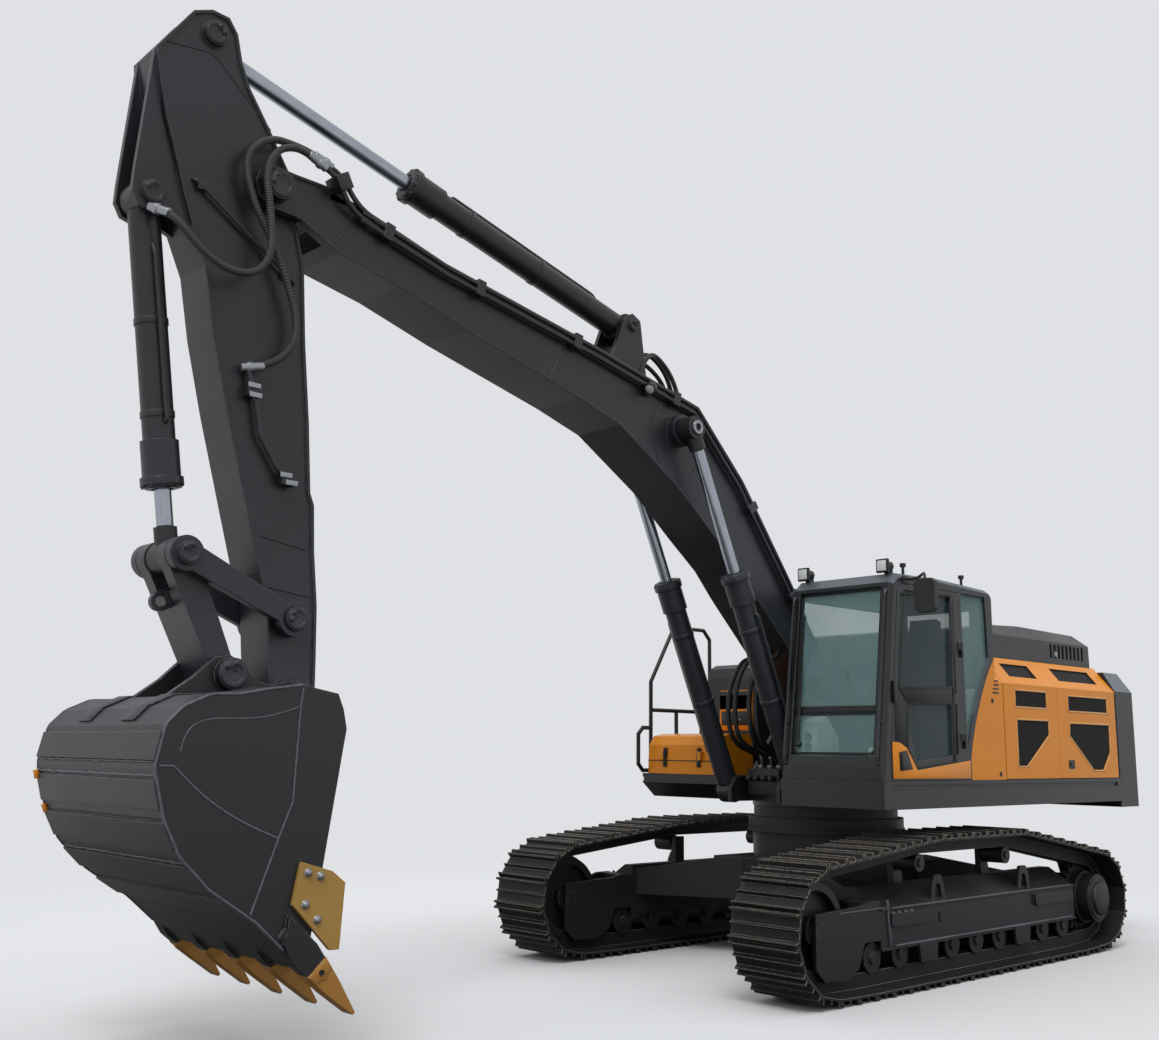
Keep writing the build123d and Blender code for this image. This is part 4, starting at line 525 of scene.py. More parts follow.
# Black woven mesh fills each window flush under the skin, and a pressed rim stands round its edge, in a paler
# orange that is a painted highlight.
window_mesh, mesh_place, mesh_skin = new_finish("window_mesh")
weave = mesh_place.node("ShaderNodeTexVoronoi", {"Vector": mesh_place, "Scale": 110.0})
feed(mesh_skin, Base_Color=flat_colour(mesh_place, (0.006, 0.006, 0.007)).blend(weave.band(0.35, 0.6),
                                                                                (0.022, 0.021, 0.02, 1.0)),
     Roughness=0.6 + weave * 0.2,
     Normal=mesh_place.node("ShaderNodeBump", {"Strength": 0.5, "Distance": 0.002, "Height": weave}))
mesh_skin.inputs["Specular IOR Level"].default_value = 0.15
# The rims are a paler copy of the door enamel: a painted highlight.
rim_highlight_orange = sprayed("rim_highlight_orange", (0.93, 0.47, 0.13), 0.3, edge_wear_and_highlight=(0.97, 0.62, 0.3), dust_and_top_light=0.0, rub_and_highlight=0.8)
windows = {
    "side_door_front": (((-0.760, 2.165), (-0.760, 2.300), (-1.320, 2.300), (-1.320, 2.165)),
                        ((-0.770, 2.045), (-0.770, 1.650), (-0.920, 1.650), (-1.340, 1.925),
                         (-1.340, 2.045))),
    "side_door_rear": (((-1.740, 2.155), (-1.740, 2.285), (-2.530, 2.285), (-2.530, 2.155)),
                       ((-1.750, 2.035), (-1.742, 1.925), (-2.190, 1.615), (-2.390, 1.615), (-2.545, 1.775),
                        (-2.555, 2.035))),
}
for door, openings in windows.items():
    for side, name in SIDES:
        fills, rims = [], []
        for corners in openings:
            fills.append(facing_y(side * 1.4885, corners, side * 0.006))
            middle_x = sum(x for x, z in corners) / len(corners)
            middle_z = sum(z for x, z in corners) / len(corners)
            for (x_a, z_a), (x_b, z_b) in zip(corners, corners[1:] + corners[:1]):
                run = Vector((x_b - x_a, 0, z_b - z_a)).normalized()
                out = Vector((run.z, 0, -run.x))
                if out.dot(Vector((middle_x - x_a, 0, middle_z - z_a))) > 0:
                    out = -out
                start, end = Vector((x_a, side * 1.4985, z_a)), Vector((x_b, side * 1.4985, z_b))
                rims.append(traced([start - run * 0.014, end + run * 0.014, end + run * 0.014 + out * 0.014,
                                    start - run * 0.014 + out * 0.014], (0, side * 0.005, 0)))
        joined(fills, f"{door}_mesh_{name}", window_mesh, f"{door}_{name}", "black_plastic")
        joined(rims, f"{door}_rims_{name}", rim_highlight_orange, f"{door}_{name}", "orange_paint", 0.004)

# Black moulded latches on the rear doors and the tool box, and the little black vents of the sweep panel.
black_plastic = sprayed("black_plastic", (0.010, 0.010, 0.011), 0.45, edge_wear_and_highlight=(0.05, 0.05, 0.052), dust_and_top_light=0.15,
                        rub_and_highlight=0.3)
for side, name in SIDES:
    latch(-1.745, side * 1.4998, 1.665, side, 0.11, 0.075)
    settled(f"door_latch_{name}", black_plastic, f"side_door_rear_{name}", "black_plastic", 0.0015)
slits = []
for step in range(4):
    z = 2.262 + 0.034 * step
    slits.append(facing_y(1.4995, [(-0.37 - step * 0.012, z), (-0.475, z), (-0.475, z + 0.012),
                                   (-0.378 - step * 0.012, z + 0.012)], 0.005))
for x, z in ((-0.363, 2.198), (-0.452, 1.582)):
    slits.append(turned([(-0.002, 0.0), (-0.002, 0.019), (0.005, 0.019), (0.007, 0.013), (0.007, 0.0)],
                        (x, 1.5, z), (0, 1, 0), 20))
joined(slits, "sweep_panel_vents", black_plastic, "upper_structure", "black_plastic", 0.001)
box_latches = []
for y in (-0.78, -1.2):
    strap = facing_x(0.835, y - 0.022, y + 0.022, 1.60, 1.654, 0.012)
    keeper = facing_x(0.847, y - 0.012, y + 0.012, 1.615, 1.648, 0.01)
    box_latches.extend([strap, keeper])
box_latches.append(facing_x(0.8345, -1.418, -0.562, 1.651, 1.659, 0.003))
joined(box_latches, "tool_box_latches", black_plastic, "upper_structure", "black_plastic", 0.002)
catches = []
for y in (-0.78, -1.2):
    catches.append(traced([(0.834, y - 0.026, 1.668), (0.834, y + 0.026, 1.668), (0.824, y + 0.02, 1.775),
                           (0.824, y - 0.02, 1.775)], (0.016, 0, 0)))
    catches.append(traced([(0.848, y - 0.012, 1.69), (0.848, y + 0.012, 1.69), (0.842, y + 0.009, 1.765),
                           (0.842, y - 0.009, 1.765)], (0.012, 0, 0)))
joined(catches, "tool_box_catches", black_plastic, "tool_box_lid", "black_plastic", 0.003)

# The tank's front stands behind an orange cover with a black pocket, held by two steel screws.
facing_y(-0.97, [(0.29, 1.94), (0.322, 1.94), (0.322, 2.27), (0.314, 2.31), (0.29, 2.33)], 0.40)
settled("tank_cover", orange_enamel, "upper_structure", "orange_paint", 0.006)
facing_x(0.321, -0.945, -0.60, 1.99, 2.12, 0.003)
settled("tank_pocket", black_plastic, "upper_structure", "black_plastic", 0.001)
hex_bolts([(0.322, -0.85, 2.04), (0.322, -0.72, 2.04)], (1, 0, 0), 0.012)
settled("tank_screws", satin_steel, "upper_structure", "worn_steel")


# ---- Cab ----
# A welded cab in the deck's charcoal with tinted safety glass, pale grey trim inside and a sprung seat.
cab_paint = sprayed("cab_paint", (0.012, 0.013, 0.0155), 0.36, edge_wear_and_highlight=(0.2, 0.22, 0.25), dust_and_top_light=0.6, rub_and_highlight=0.5,
                    round_off=0.012, top_dust_and_light_colour=(0.16, 0.175, 0.2))
# The cab's chamfers are painted pale blue-grey as a painted sky reflection, and its top faces carry a painted
# top light with the dust.
sky_sheen_on_slopes(cab_paint, 0.7, (0.13, 0.15, 0.185))
dress("cab_frame", cab_paint)
dress("cab_door", cab_paint)
dress("cab_lamps", black_plastic)
dress("mirror", black_plastic)
cab_trim = sprayed("cab_trim", (0.56, 0.63, 0.63), 0.7, edge_wear_and_highlight=(0.7, 0.76, 0.76), dust_and_top_light=0.0, rub_and_highlight=0.2)
seat_cloth = sprayed("seat_cloth", (0.045, 0.048, 0.052), 0.85, edge_wear_and_highlight=(0.09, 0.09, 0.09), dust_and_top_light=0.0, rub_and_highlight=0.2)
dress("operator_chair", seat_cloth)


def tinted(name, colour, film_colour, cover):
    """Blue-green safety glass: thin, with a soft reflection and a faint film of dust."""
    material, place, shader = new_finish(name)
    film = place.noise(2.2, 5.0)
    feed(shader, Base_Color=flat_colour(place, colour).blend(film.band(0.4, 0.8) * 0.5, (*film_colour, 1.0)),
         Roughness=0.02 + film.band(0.5, 0.9) * 0.04, Alpha=cover + film.band(0.45, 0.8) * 0.06)
    shader.inputs["IOR"].default_value = 1.5
    material.surface_render_method = "BLENDED"
    return material


dress("cab_glass", tinted("safety_glass", (0.26, 0.46, 0.46), (0.36, 0.54, 0.54), 0.28))
dress("door_glass", tinted("door_safety_glass", (0.045, 0.085, 0.09), (0.10, 0.15, 0.155), 0.36))


def drawn(spots, radius, order=3):
    """A round rod, hose or weld bead along a line through some places."""
    line = bpy.data.curves.new("line", "CURVE")
    line.dimensions = "3D"
    line.bevel_depth, line.bevel_resolution = radius, 3
    line.resolution_u = 6
    line.use_fill_caps = True
    route = line.splines.new("NURBS")
    route.points.add(len(spots) - 1)
    for point, spot in zip(route.points, spots):
        point.co = (*spot, 1.0)
    route.order_u = min(order, len(spots))
    route.use_endpoint_u = True
    piece = bpy.data.objects.new("line", line)
    scene.collection.objects.link(piece)
    bpy.ops.object.select_all(action="DESELECT")
    piece.select_set(True)
    bpy.context.view_layer.objects.active = piece
    bpy.ops.object.convert(target="MESH")
    return bpy.context.object


def screen(y, z, off=0.0):
    """A place on the raked windscreen, so far across, so high, and so far in front of it."""
    return (1.272 - (z - 1.64) * 0.13125 + off, y, z)


# Black rubber holds the windscreen in its post-to-post opening, and a bar parts its upper and lower lights.
seal = []
for low, high in ((1.726, 2.062), (2.088, 3.044)):
    near, far = 0.617, 1.405
    outline = [(near, low), (far, low), (far, high), (near, high)]
    for (y_a, z_a), (y_b, z_b) in zip(outline, outline[1:] + outline[:1]):
        if z_a != z_b:
            y_c = y_a - 0.022 if y_a > 1.0 else y_a + 0.022
            seal.append(traced([screen(y_a, z_a, -0.012), screen(y_b, z_b, -0.012), screen(y_c, z_b, -0.012),
                                screen(y_c, z_a, -0.012)], (0.012, 0, 0)))
        else:
            z_c = z_a - 0.022 if z_a == high else z_a + 0.022
            seal.append(traced([screen(y_a, z_a, -0.012), screen(y_b, z_a, -0.012), screen(y_b, z_c, -0.012),
                                screen(y_a, z_c, -0.012)], (0.012, 0, 0)))
bar = [screen(0.614, 2.060, -0.014), screen(1.408, 2.060, -0.014), screen(1.408, 2.090, -0.014),
       screen(0.614, 2.090, -0.014)]
seal.append(traced(bar, (0.02, 0, 0)))
for y, z in ((0.6, 1.73), (1.42, 1.73)):
    inward = 0.09 if y < 1.0 else -0.09
    corner = [screen(y, z, -0.013), screen(y + inward, z, -0.013),
              screen(y + inward * 0.45, z + 0.035, -0.013),
              screen(y + inward * 0.12, z + 0.1, -0.013), screen(y, z + 0.12, -0.013)]
    seal.append(traced(corner, (0.012, 0, 0)))
assembled(seal)
rubber = sprayed("rubber", (0.008, 0.008, 0.009), 0.6, edge_wear_and_highlight=(0.03, 0.03, 0.03), dust_and_top_light=0.2, rub_and_highlight=0.2)
settled("windscreen_seal", rubber, "upper_structure", "black_plastic", 0.002)

# The wiper is parked up the right-hand post: a spindle cap, a sprung arm and a rubber blade.
arm = traced([screen(0.66, 1.80, 0.012), screen(0.685, 1.80, 0.012), screen(0.674, 2.48, 0.012),
              screen(0.662, 2.48, 0.012)], (0.008, 0, 0))
blade = traced([screen(0.652, 2.18, 0.0), screen(0.66, 2.18, 0.0), screen(0.66, 2.86, 0.0),
                screen(0.652, 2.86, 0.0)], (0.018, 0, 0))
spindle = turned([(-0.01, 0.0), (-0.01, 0.024), (0.018, 0.024), (0.026, 0.014), (0.026, 0.0)],
                 screen(0.672, 1.81, 0.0), (1, 0, 0.13), 20)
joined([arm, blade, spindle], "wiper", black_plastic, "upper_structure", "black_plastic", 0.001)

# A round tube stands off each post, for the screen's guard.
tubes = []
for y in (0.567, 1.455):
    tubes.append(drawn([screen(y, 1.66, 0.03), screen(y, 1.69, 0.046), screen(y, 1.75, 0.05),
                        screen(y, 2.35, 0.05), screen(y, 2.93, 0.05), screen(y, 2.99, 0.046),
                        screen(y, 3.02, 0.03)], 0.0115))
joined(tubes, "guard_tubes", cab_paint, "upper_structure", "charcoal_paint")

# Three turned knobs on each post hold the screen's guard.
knobs = []
for y in (0.567, 1.455):
    for z in (1.66, 1.98, 2.95):
        knobs.append(turned([(-0.006, 0.0), (-0.006, 0.016), (0.012, 0.016), (0.018, 0.011), (0.018, 0.0)],
                            (1.297 - max(z - 1.64, 0) * 0.142 - 0.001, y, z), (1, 0, 0.13), 16))
joined(knobs, "post_knobs", black_plastic, "upper_structure", "black_plastic")

# Black hoods and clear lenses of the roof's work lamps.
lens = bpy.data.materials.new("lamp_lens")
lens.use_nodes = True
lens_place = Shade(lens.node_tree).node("ShaderNodeTexCoord", output="Object")
facet = lens_place.node("ShaderNodeTexVoronoi", {"Vector": lens_place, "Scale": 90.0})
feed(lens.node_tree.nodes["Principled BSDF"], Roughness=0.12 + facet * 0.2,
     Base_Color=flat_colour(lens_place, (0.72, 0.76, 0.78)).blend(facet, (0.95, 0.96, 0.97, 1.0)))
hoods, faces = [], []
for y in (0.612, 1.39):
    hoods.append(facing_x(1.045, y - 0.056, y + 0.056, 3.164, 3.276, 0.03))
    faces.append(facing_x(1.0745, y - 0.042, y + 0.042, 3.178, 3.262, 0.006))
joined(hoods, "lamp_hoods", black_plastic, "upper_structure", "black_plastic", 0.008)
joined(faces, "lamp_lenses", lens, "upper_structure", "tinted_glass", 0.003)


# ---- Cab interior ----
# Pale moulded consoles stand in front of the seat and on its right, with two pilot levers in rubber boots,
# two travel levers with their pedals, two dials and a monitor.
inside = []
inside.append(facing_y(0.62, [(1.16, 1.60), (1.16, 1.98), (1.02, 2.04), (0.86, 1.86), (0.86, 1.60)], 0.17))
inside.append(facing_y(0.60, [(0.30, 1.60), (0.30, 2.10), (-0.32, 2.16), (-0.32, 1.60)], 0.13))
inside.append(facing_y(1.28, [(1.18, 1.60), (1.18, 1.78), (1.06, 1.82), (0.96, 1.60)], 0.12))
inside.append(facing_y(0.62, [(-0.34, 2.98), (0.98, 2.98), (0.98, 3.07), (-0.34, 3.07)], 0.10))
inside.append(facing_y(0.66, [(-0.35, 1.62), (-0.31, 1.62), (-0.31, 2.30), (-0.35, 2.30)], 0.70))
joined(inside, "cab_consoles", cab_trim, "upper_structure", "cab_plastic", 0.012)
dark = []
for z in (1.70, 1.78):
    dark.append(turned([(-0.004, 0.0), (-0.004, 0.036), (0.008, 0.036), (0.008, 0.028), (0.002, 0.026),
                        (0.002, 0.0)],
                       (1.161, 0.70, z + 0.09), (1, 0, 0.1), 24))
dark.append(traced([(1.02, 0.60, 2.18), (1.02, 0.76, 2.18), (0.99, 0.76, 2.36), (0.99, 0.60, 2.36)],
                   (-0.03, 0, 0)))
for y in (0.70, 1.33):
    dark.append(turned([(0.0, 0.0), (0.0, 0.05), (0.02, 0.046), (0.03, 0.03), (0.06, 0.024), (0.07, 0.014),
                        (0.2, 0.013), (0.215, 0.03), (0.3, 0.033), (0.325, 0.02), (0.325, 0.0)],
                       (0.56, y, 2.14), (0.12, 0, 1), 20))
for y in (0.92, 1.10):
    dark.append(turned([(0.0, 0.0), (0.0, 0.012), (0.62, 0.012), (0.63, 0.022), (0.72, 0.022), (0.73, 0.0)],
                       (1.02, y, 1.61), (-0.28, 0, 1), 14))
    dark.append(traced([(1.05, y - 0.045, 1.62), (1.16, y - 0.045, 1.70), (1.16, y + 0.045, 1.70),
                        (1.05, y + 0.045, 1.62)], (0.012, 0, -0.02)))
joined(dark, "cab_controls", black_plastic, "upper_structure", "black_plastic", 0.002)
webbing = sprayed("webbing", (0.42, 0.02, 0.018), 0.8, edge_wear_and_highlight=(0.5, 0.06, 0.05), dust_and_top_light=0.0, rub_and_highlight=0.2)
traced([(0.02, 1.205, 2.015), (0.06, 1.255, 2.02), (-0.05, 1.26, 2.62), (-0.09, 1.21, 2.62)],
       (0.004, 0.004, 0))
settled("seat_belt", webbing, "upper_structure", "cab_plastic")


# ---- Cab door fittings ----
# An orange pressed guard closes the door's foot round a black grab handle, and the two panes are edged in
# black.
guard = [(1.179, 1.828), (1.08, 1.827), (0.987, 1.788), (0.841, 1.615), (0.05, 1.693), (0.049, 1.547),
         (1.179, 1.551)]
facing_y(1.5025, guard, 0.008)
settled("door_guard", orange_enamel, "cab_door", "orange_paint", 0.003)
grip = [(1.101, 1.754), (0.988, 1.769), (0.913, 1.624), (1.093, 1.611)]
recess = facing_y(1.5105, grip, 0.003)
handle = facing_y(1.5135, [(1.085, 1.745), (1.055, 1.747), (1.05, 1.625), (1.08, 1.622)], 0.014)
pull = facing_y(1.5022, [(1.12, 2.13), (1.15, 2.13), (1.15, 2.30), (1.12, 2.30)], 0.022)
joined([recess, handle, pull], "door_handles", black_plastic, "cab_door", "black_plastic", 0.004)
panes = [[(0.948, 3.004), (0.251, 3.055), (0.271, 2.276), (1.067, 2.243)],
         [(0.941, 2.135), (0.281, 2.157), (0.278, 1.678), (0.84, 1.624), (0.975, 1.788)]]
edging = []
for corners in panes:
    middle_x = sum(x for x, z in corners) / len(corners)
    middle_z = sum(z for x, z in corners) / len(corners)
    for (x_a, z_a), (x_b, z_b) in zip(corners, corners[1:] + corners[:1]):
        shrink = 0.955
        strip = [(x_a, z_a), (x_b, z_b), (middle_x + (x_b - middle_x) * shrink,
                                          middle_z + (z_b - middle_z) * shrink),
                 (middle_x + (x_a - middle_x) * shrink, middle_z + (z_a - middle_z) * shrink)]
        edging.append(facing_y(1.5022, strip, 0.005))
# The door's glass is printed black between its panes and down its front corner.
edging.append(traced([(x, 1.5022, z) for x, z in ((1.075, 2.243), (0.262, 2.28), (0.27, 2.15),
                                                  (0.95, 2.128))],
                     (0, 0.003, 0)))
edging.append(traced([(x, 1.5022, z) for x, z in ((1.12, 2.26), (1.06, 2.25), (0.938, 2.13), (0.972, 1.80),
                                                  (1.0, 1.80), (1.09, 1.838), (1.13, 1.838))], (0, 0.003, 0)))
edging.append(traced([(x, 1.5022, z) for x, z in ((0.27, 3.06), (0.225, 3.06), (0.25, 1.69), (0.29, 1.68))],
                     (0, 0.003, 0)))
joined(edging, "door_seal", rubber, "cab_door", "black_plastic", 0.0015)


# ---- Boom, stick and links ----
# Box sections welded from plate, in satin charcoal, with oil pipes clamped along them.
# Its top faces carry dust and a painted top light, and its edges rubbed paint and painted highlights.
arm_paint = sprayed("arm_paint", CHARCOAL, 0.38, edge_wear_and_highlight=(0.15, 0.16, 0.18), dust_and_top_light=0.45, rub_and_highlight=0.45, round_off=0.01,
                    top_dust_and_light_colour=(0.10, 0.108, 0.125), sheen=0.6)
for node in ("boom", "stick", "side_links", "bucket_link", "boom_pipes", "stick_pipes"):
    dress(node, arm_paint)


# Weld beads stand proud where the side plates' doublers and the castings meet the box, on both sides.
def side_beads(lines, half, radius=0.006):
    """Beads along lines of (x, z), on both flanks at half the width."""
    return [drawn([(x, side * half, z) for x, z in line], radius, 2) for side in (1, -1) for line in lines]


assembled(side_beads([[(6.718, 5.965), (6.402, 6.011), (5.986, 5.638)],
                      [(5.90, 3.005), (5.577, 2.956)], [(5.84, 2.70), (5.52, 2.66)]], 0.156))
settled("stick_welds", arm_paint, "stick", "charcoal_paint")

# A thin grease pipe runs slantwise over the stick's left flank, between two small blocks.
slant = drawn([(6.484, 0.158, 5.137), (6.47, 0.186, 5.128), (6.44, 0.188, 5.108), (6.12, 0.188, 4.89),
               (5.81, 0.188, 4.68), (5.78, 0.186, 4.66), (5.769, 0.158, 4.651)], 0.013)
feet = []
for x, z in ((6.43, 5.10), (5.83, 4.693)):
    feet.append(facing_y(0.155, [(x - 0.03, z - 0.022), (x + 0.03, z - 0.022), (x + 0.03, z + 0.022),
                                 (x - 0.03, z + 0.022)], 0.036))
joined([slant, *feet], "stick_grease_pipe", arm_paint, "stick", "charcoal_paint")
assembled(side_beads([[(2.02, 4.02), (1.93, 4.16), (1.93, 4.36), (2.06, 4.53)], [(2.42, 4.02), (2.52, 4.2),
                      (2.50, 4.42), (2.38, 4.58)], [(5.52, 4.99), (5.41, 5.13), (5.40, 5.27)],
                      [(0.42, 2.26), (0.24, 2.56)], [(3.62, 4.48), (3.42, 4.86)]], 0.226))
settled("boom_welds", arm_paint, "boom", "charcoal_paint")


# ---- Pin caps ----
# Every pin ends in a turned collar with a grease hole, and a keeper plate with two bolts stops it turning.
def pin_cap(x, z, reach, side, radius, turn):
    """A collar on a pin's end and the keeper plate and bolts beside it."""
    at = Vector((x, side * reach, z))
    parts = [turned([(-0.004, 0.0), (-0.004, radius), (0.005, radius), (0.009, radius * 0.94),
                     (0.009, radius * 0.66), (0.004, radius * 0.62), (0.004, radius * 0.2),
                     (0.001, radius * 0.16), (0.001, 0.0)], at, (0, side, 0), 36)]
    along = Vector((math.cos(turn), 0, math.sin(turn)))
    across = Vector((-math.sin(turn), 0, math.cos(turn)))
    middle = at + along * radius * 0.62 + Vector((0, side * 0.007, 0))
    corners = [middle + along * a + across * b for a, b in ((-0.016, -radius * 0.5), (0.016, -radius * 0.5),
                                                            (0.016, radius * 0.5), (-0.016, radius * 0.5))]
    parts.append(traced(corners, (0, side * 0.008, 0)))
    heads = [middle + across * b + Vector((0, side * 0.008, 0)) for b in (-radius * 0.3, radius * 0.3)]
    parts.append(hex_bolts(heads, (0, side, 0), 0.018))
    return parts


# Each cap: x, z, reach from the middle, radius, turn of its keeper.
for name, body, caps in (
        ("boom_pin_caps", "boom", ((5.963, 5.230, 0.310, 0.088, 0.4), (2.657, 5.143, 0.165, 0.044, 1.6))),
        ("stick_pin_caps", "stick", ((6.408, 6.134, 0.192, 0.072, 2.4), (6.720, 4.981, 0.165, 0.068, 0.9),
                                     (5.680, 2.505, 0.290, 0.068, 0.3))),
        ("link_pin_caps", "side_links", ((6.404, 2.829, 0.305, 0.062, 1.1),)),
        ("bucket_pin_caps", "bucket", ((6.085, 2.153, 0.300, 0.085, 1.2), (5.620, 2.020, 0.300, 0.09, 2.2))),
):
    parts = []
    for x, z, reach, radius, turn in caps:
        for side in (1, -1):
            parts.extend(pin_cap(x, z, reach, side, radius, turn))
    joined(parts, name, arm_paint, body, "charcoal_paint", 0.001)
rings = []
for side in (1, -1):
    rings.append(turned([(-0.003, 0.03), (-0.003, 0.058), (0.016, 0.058), (0.02, 0.054), (0.02, 0.034),
                         (0.016, 0.03), (-0.003, 0.03)], (2.21, side * 0.442, 4.32), (0, side, 0), 40))
joined(rings, "boom_eye_rings", satin_steel, "boom", "worn_steel")


# ---- Cylinders ----
# Honed tubes painted with the boom, with hard chromed rods whose end eyes are painted.
for node in ("boom_cylinder_left_barrel", "boom_cylinder_right_barrel", "stick_cylinder_barrel",
             "bucket_cylinder_barrel"):
    dress(node, arm_paint)


def chromed(name, line):
    """Hard chrome with a fine turned grain, painted from its end eye down to the rod."""
    material, place, shader = new_finish(name)
    streak = place.noise(6.0, 4.0, (1.0, 30.0, 1.0))
    (x_a, z_a), (x_b, z_b) = line
    length = math.hypot(x_b - x_a, z_b - z_a)
    way_x, way_z = (x_b - x_a) / length, (z_b - z_a) / length
    along = (place.axis("X") - x_a) * way_x + (place.axis("Z") - z_a) * way_z
    paint = along.band(length - 0.19, length - 0.186)
    tone = flat_colour(place, (0.33, 0.355, 0.40)).blend(streak.band(0.3, 0.8), (0.44, 0.465, 0.51, 1.0))
    feed(shader, Base_Color=tone.blend(paint, (*CHARCOAL, 1.0)),
         Roughness=0.15 + streak * 0.12 + paint * 0.25,
         Metallic=1.0 - paint)
    return material


# name, foot, eye, half width across the cylinder, barrel end, gland length, gland radius, barrel radius
cylinders = (
    ("boom_cylinder_left", (0.880, 1.410), (2.210, 4.320), 0.380, 1.950, 0.260, 0.108, 0.092),
    ("boom_cylinder_right", (0.880, 1.410), (2.210, 4.320), -0.380, 1.950, 0.260, 0.108, 0.092),
    ("stick_cylinder", (2.657, 5.143), (6.408, 6.134), 0.0, 2.230, 0.280, 0.118, 0.100),
    ("bucket_cylinder", (6.720, 4.981), (6.404, 2.829), 0.0, 1.760, 0.280, 0.112, 0.095),
)
for name, foot, eye_of, y, end, gland, gland_radius, barrel_radius in cylinders:
    dress(f"{name}_rod", chromed(f"{name}_chrome", (foot, eye_of)))
    start = Vector((foot[0], y, foot[1]))
    along = (Vector((eye_of[0], y, eye_of[1])) - start).normalized()
    side_way = Vector((0, 1, 0))
    up_way = along.cross(side_way)
    parts = []
    # The gland is a bolted head with a wiper ring, and two clamp bands sit lower down.
    parts.append(turned([(end - 0.06, gland_radius - 0.001), (end - 0.06, gland_radius + 0.014),
                         (end - 0.012, gland_radius + 0.014), (end - 0.012, gland_radius * 0.9),
                         (end + 0.008, gland_radius * 0.86), (end + 0.008, gland_radius * 0.62),
                         (end - 0.004, gland_radius * 0.58), (end - 0.06, gland_radius - 0.001)],
                        start, along, 40))
    for band in (0.42, 0.74):
        parts.append(turned([(end * band, barrel_radius - 0.001), (end * band, barrel_radius + 0.006),
                             (end * band + 0.04, barrel_radius + 0.006),
                             (end * band + 0.04, barrel_radius - 0.001),
                             (end * band, barrel_radius - 0.001)], start, along, 36))
    heads = []
    for step in range(10):
        turn = math.tau * (step + 0.5) / 10
        round_way = side_way * math.cos(turn) + up_way * math.sin(turn)
        heads.append(start + along * (end - 0.012) + round_way * gland_radius)
    parts.append(hex_bolts(heads, along, 0.02))
    # The rod-side port is a steel pipe along the barrel, from below the gland to near the foot.
    lift = up_way * (barrel_radius + 0.03) if name == "stick_cylinder" else side_way * (barrel_radius + 0.026)
    if y < 0:
        lift = side_way * -(barrel_radius + 0.026)
    base = lift.normalized() * (barrel_radius - 0.004)
    spots = [start + along * (end - gland - 0.10) + base, start + along * (end - gland - 0.10) + lift,
             start + along * (end - gland - 0.16) + lift, start + along * (end * 0.5) + lift,
             start + along * 0.42 + lift, start + along * 0.36 + lift, start + along * 0.30 + base]
    parts.append(drawn(spots, 0.014))
    joined(parts, f"{name}_fittings", arm_paint, f"{name}_barrel", "charcoal_paint", 0.001)


# ---- Hoses at the boom's foot and on its top ----
# Four black rubber hoses loop from the valve block on the deck to the boom's foot, and three more stand in a
# loop on the boom's top. Their near ends are crimped steel.
def crimp(at, way, radius):
    """A crimped steel end: a hexagon, a collar and a sleeve over the hose."""
    return turned([(-0.05, 0.0), (-0.05, radius * 1.15), (-0.012, radius * 1.2), (-0.012, radius * 1.5),
                   (0.018, radius * 1.5), (0.018, radius * 1.22), (0.09, radius * 1.22),
                   (0.095, radius * 1.05), (0.095, 0.0)], at, way, 12)


def coated(hose, name, finish):
    """Names a hose and gives it a smooth skin of its finish."""
    hose.name = name
    hose.data.materials.clear()
    hose.data.materials.append(finish)
    bpy.ops.object.shade_smooth_by_angle(angle=math.radians(60))


block = facing_y(-0.17, [(0.60, 1.378), (0.88, 1.378), (0.88, 1.60), (0.60, 1.60)], 0.34)
spools = []
for y in (-0.12, -0.04, 0.04, 0.12):
    spools.append(turned([(-0.004, 0.0), (-0.004, 0.026), (0.05, 0.026), (0.06, 0.02), (0.07, 0.02),
                          (0.07, 0.0)],
                         (0.88, y, 1.52), (1, 0, 0), 20))
joined([block, *spools], "valve_block", chassis_paint, "upper_structure", "charcoal_paint", 0.006)
hose_rubber = sprayed("hose_rubber", (0.009, 0.009, 0.010), 0.5, edge_wear_and_highlight=(0.03, 0.03, 0.032), dust_and_top_light=0.3, rub_and_highlight=0.1)
ends = []
for step, y in enumerate((-0.15, -0.05, 0.05, 0.15)):
    reach = 1.14 + 0.05 * (step % 2)
    spots = [(0.72, y, 1.60), (0.74, y, 1.72), (reach - 0.08, y * 1.1, 1.80), (reach, y * 1.2, 2.02),
             (reach - 0.03, y * 1.1, 2.32), (reach - 0.16, y, 2.52), (0.84, y, 2.56), (0.80, y, 2.64)]
    hose = drawn(spots, 0.021)
    coated(hose, f"foot_hose_{step + 1}", hose_rubber)
    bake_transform(hose)
    ends.append(crimp((0.72, y, 1.605), (0.02, 0, 0.12), 0.021))
joined(ends, "valve_block_unions", satin_steel, "upper_structure", "worn_steel")
top_hoses, unions = [], []
for y, lift in ((-0.06, 0.0), (0.0, 0.05), (0.06, 0.02)):
    spots = [(1.98, y, 4.578), (2.02, y, 4.70), (2.12, y, 4.86 + lift), (2.34, y * 1.4, 4.98 + lift),
             (2.50, y * 2.0 + 0.02, 4.90), (2.56, y * 2.0 + 0.03, 4.78), (2.57, y * 2.0 + 0.03, 4.70)]
    top_hoses.append(drawn(spots, 0.019))
    unions.append(crimp(spots[0], (0.04, 0, 0.12), 0.019))
joined(top_hoses, "boom_top_hoses", hose_rubber, "boom", "black_plastic")
joined(unions, "boom_top_unions", satin_steel, "boom", "worn_steel")

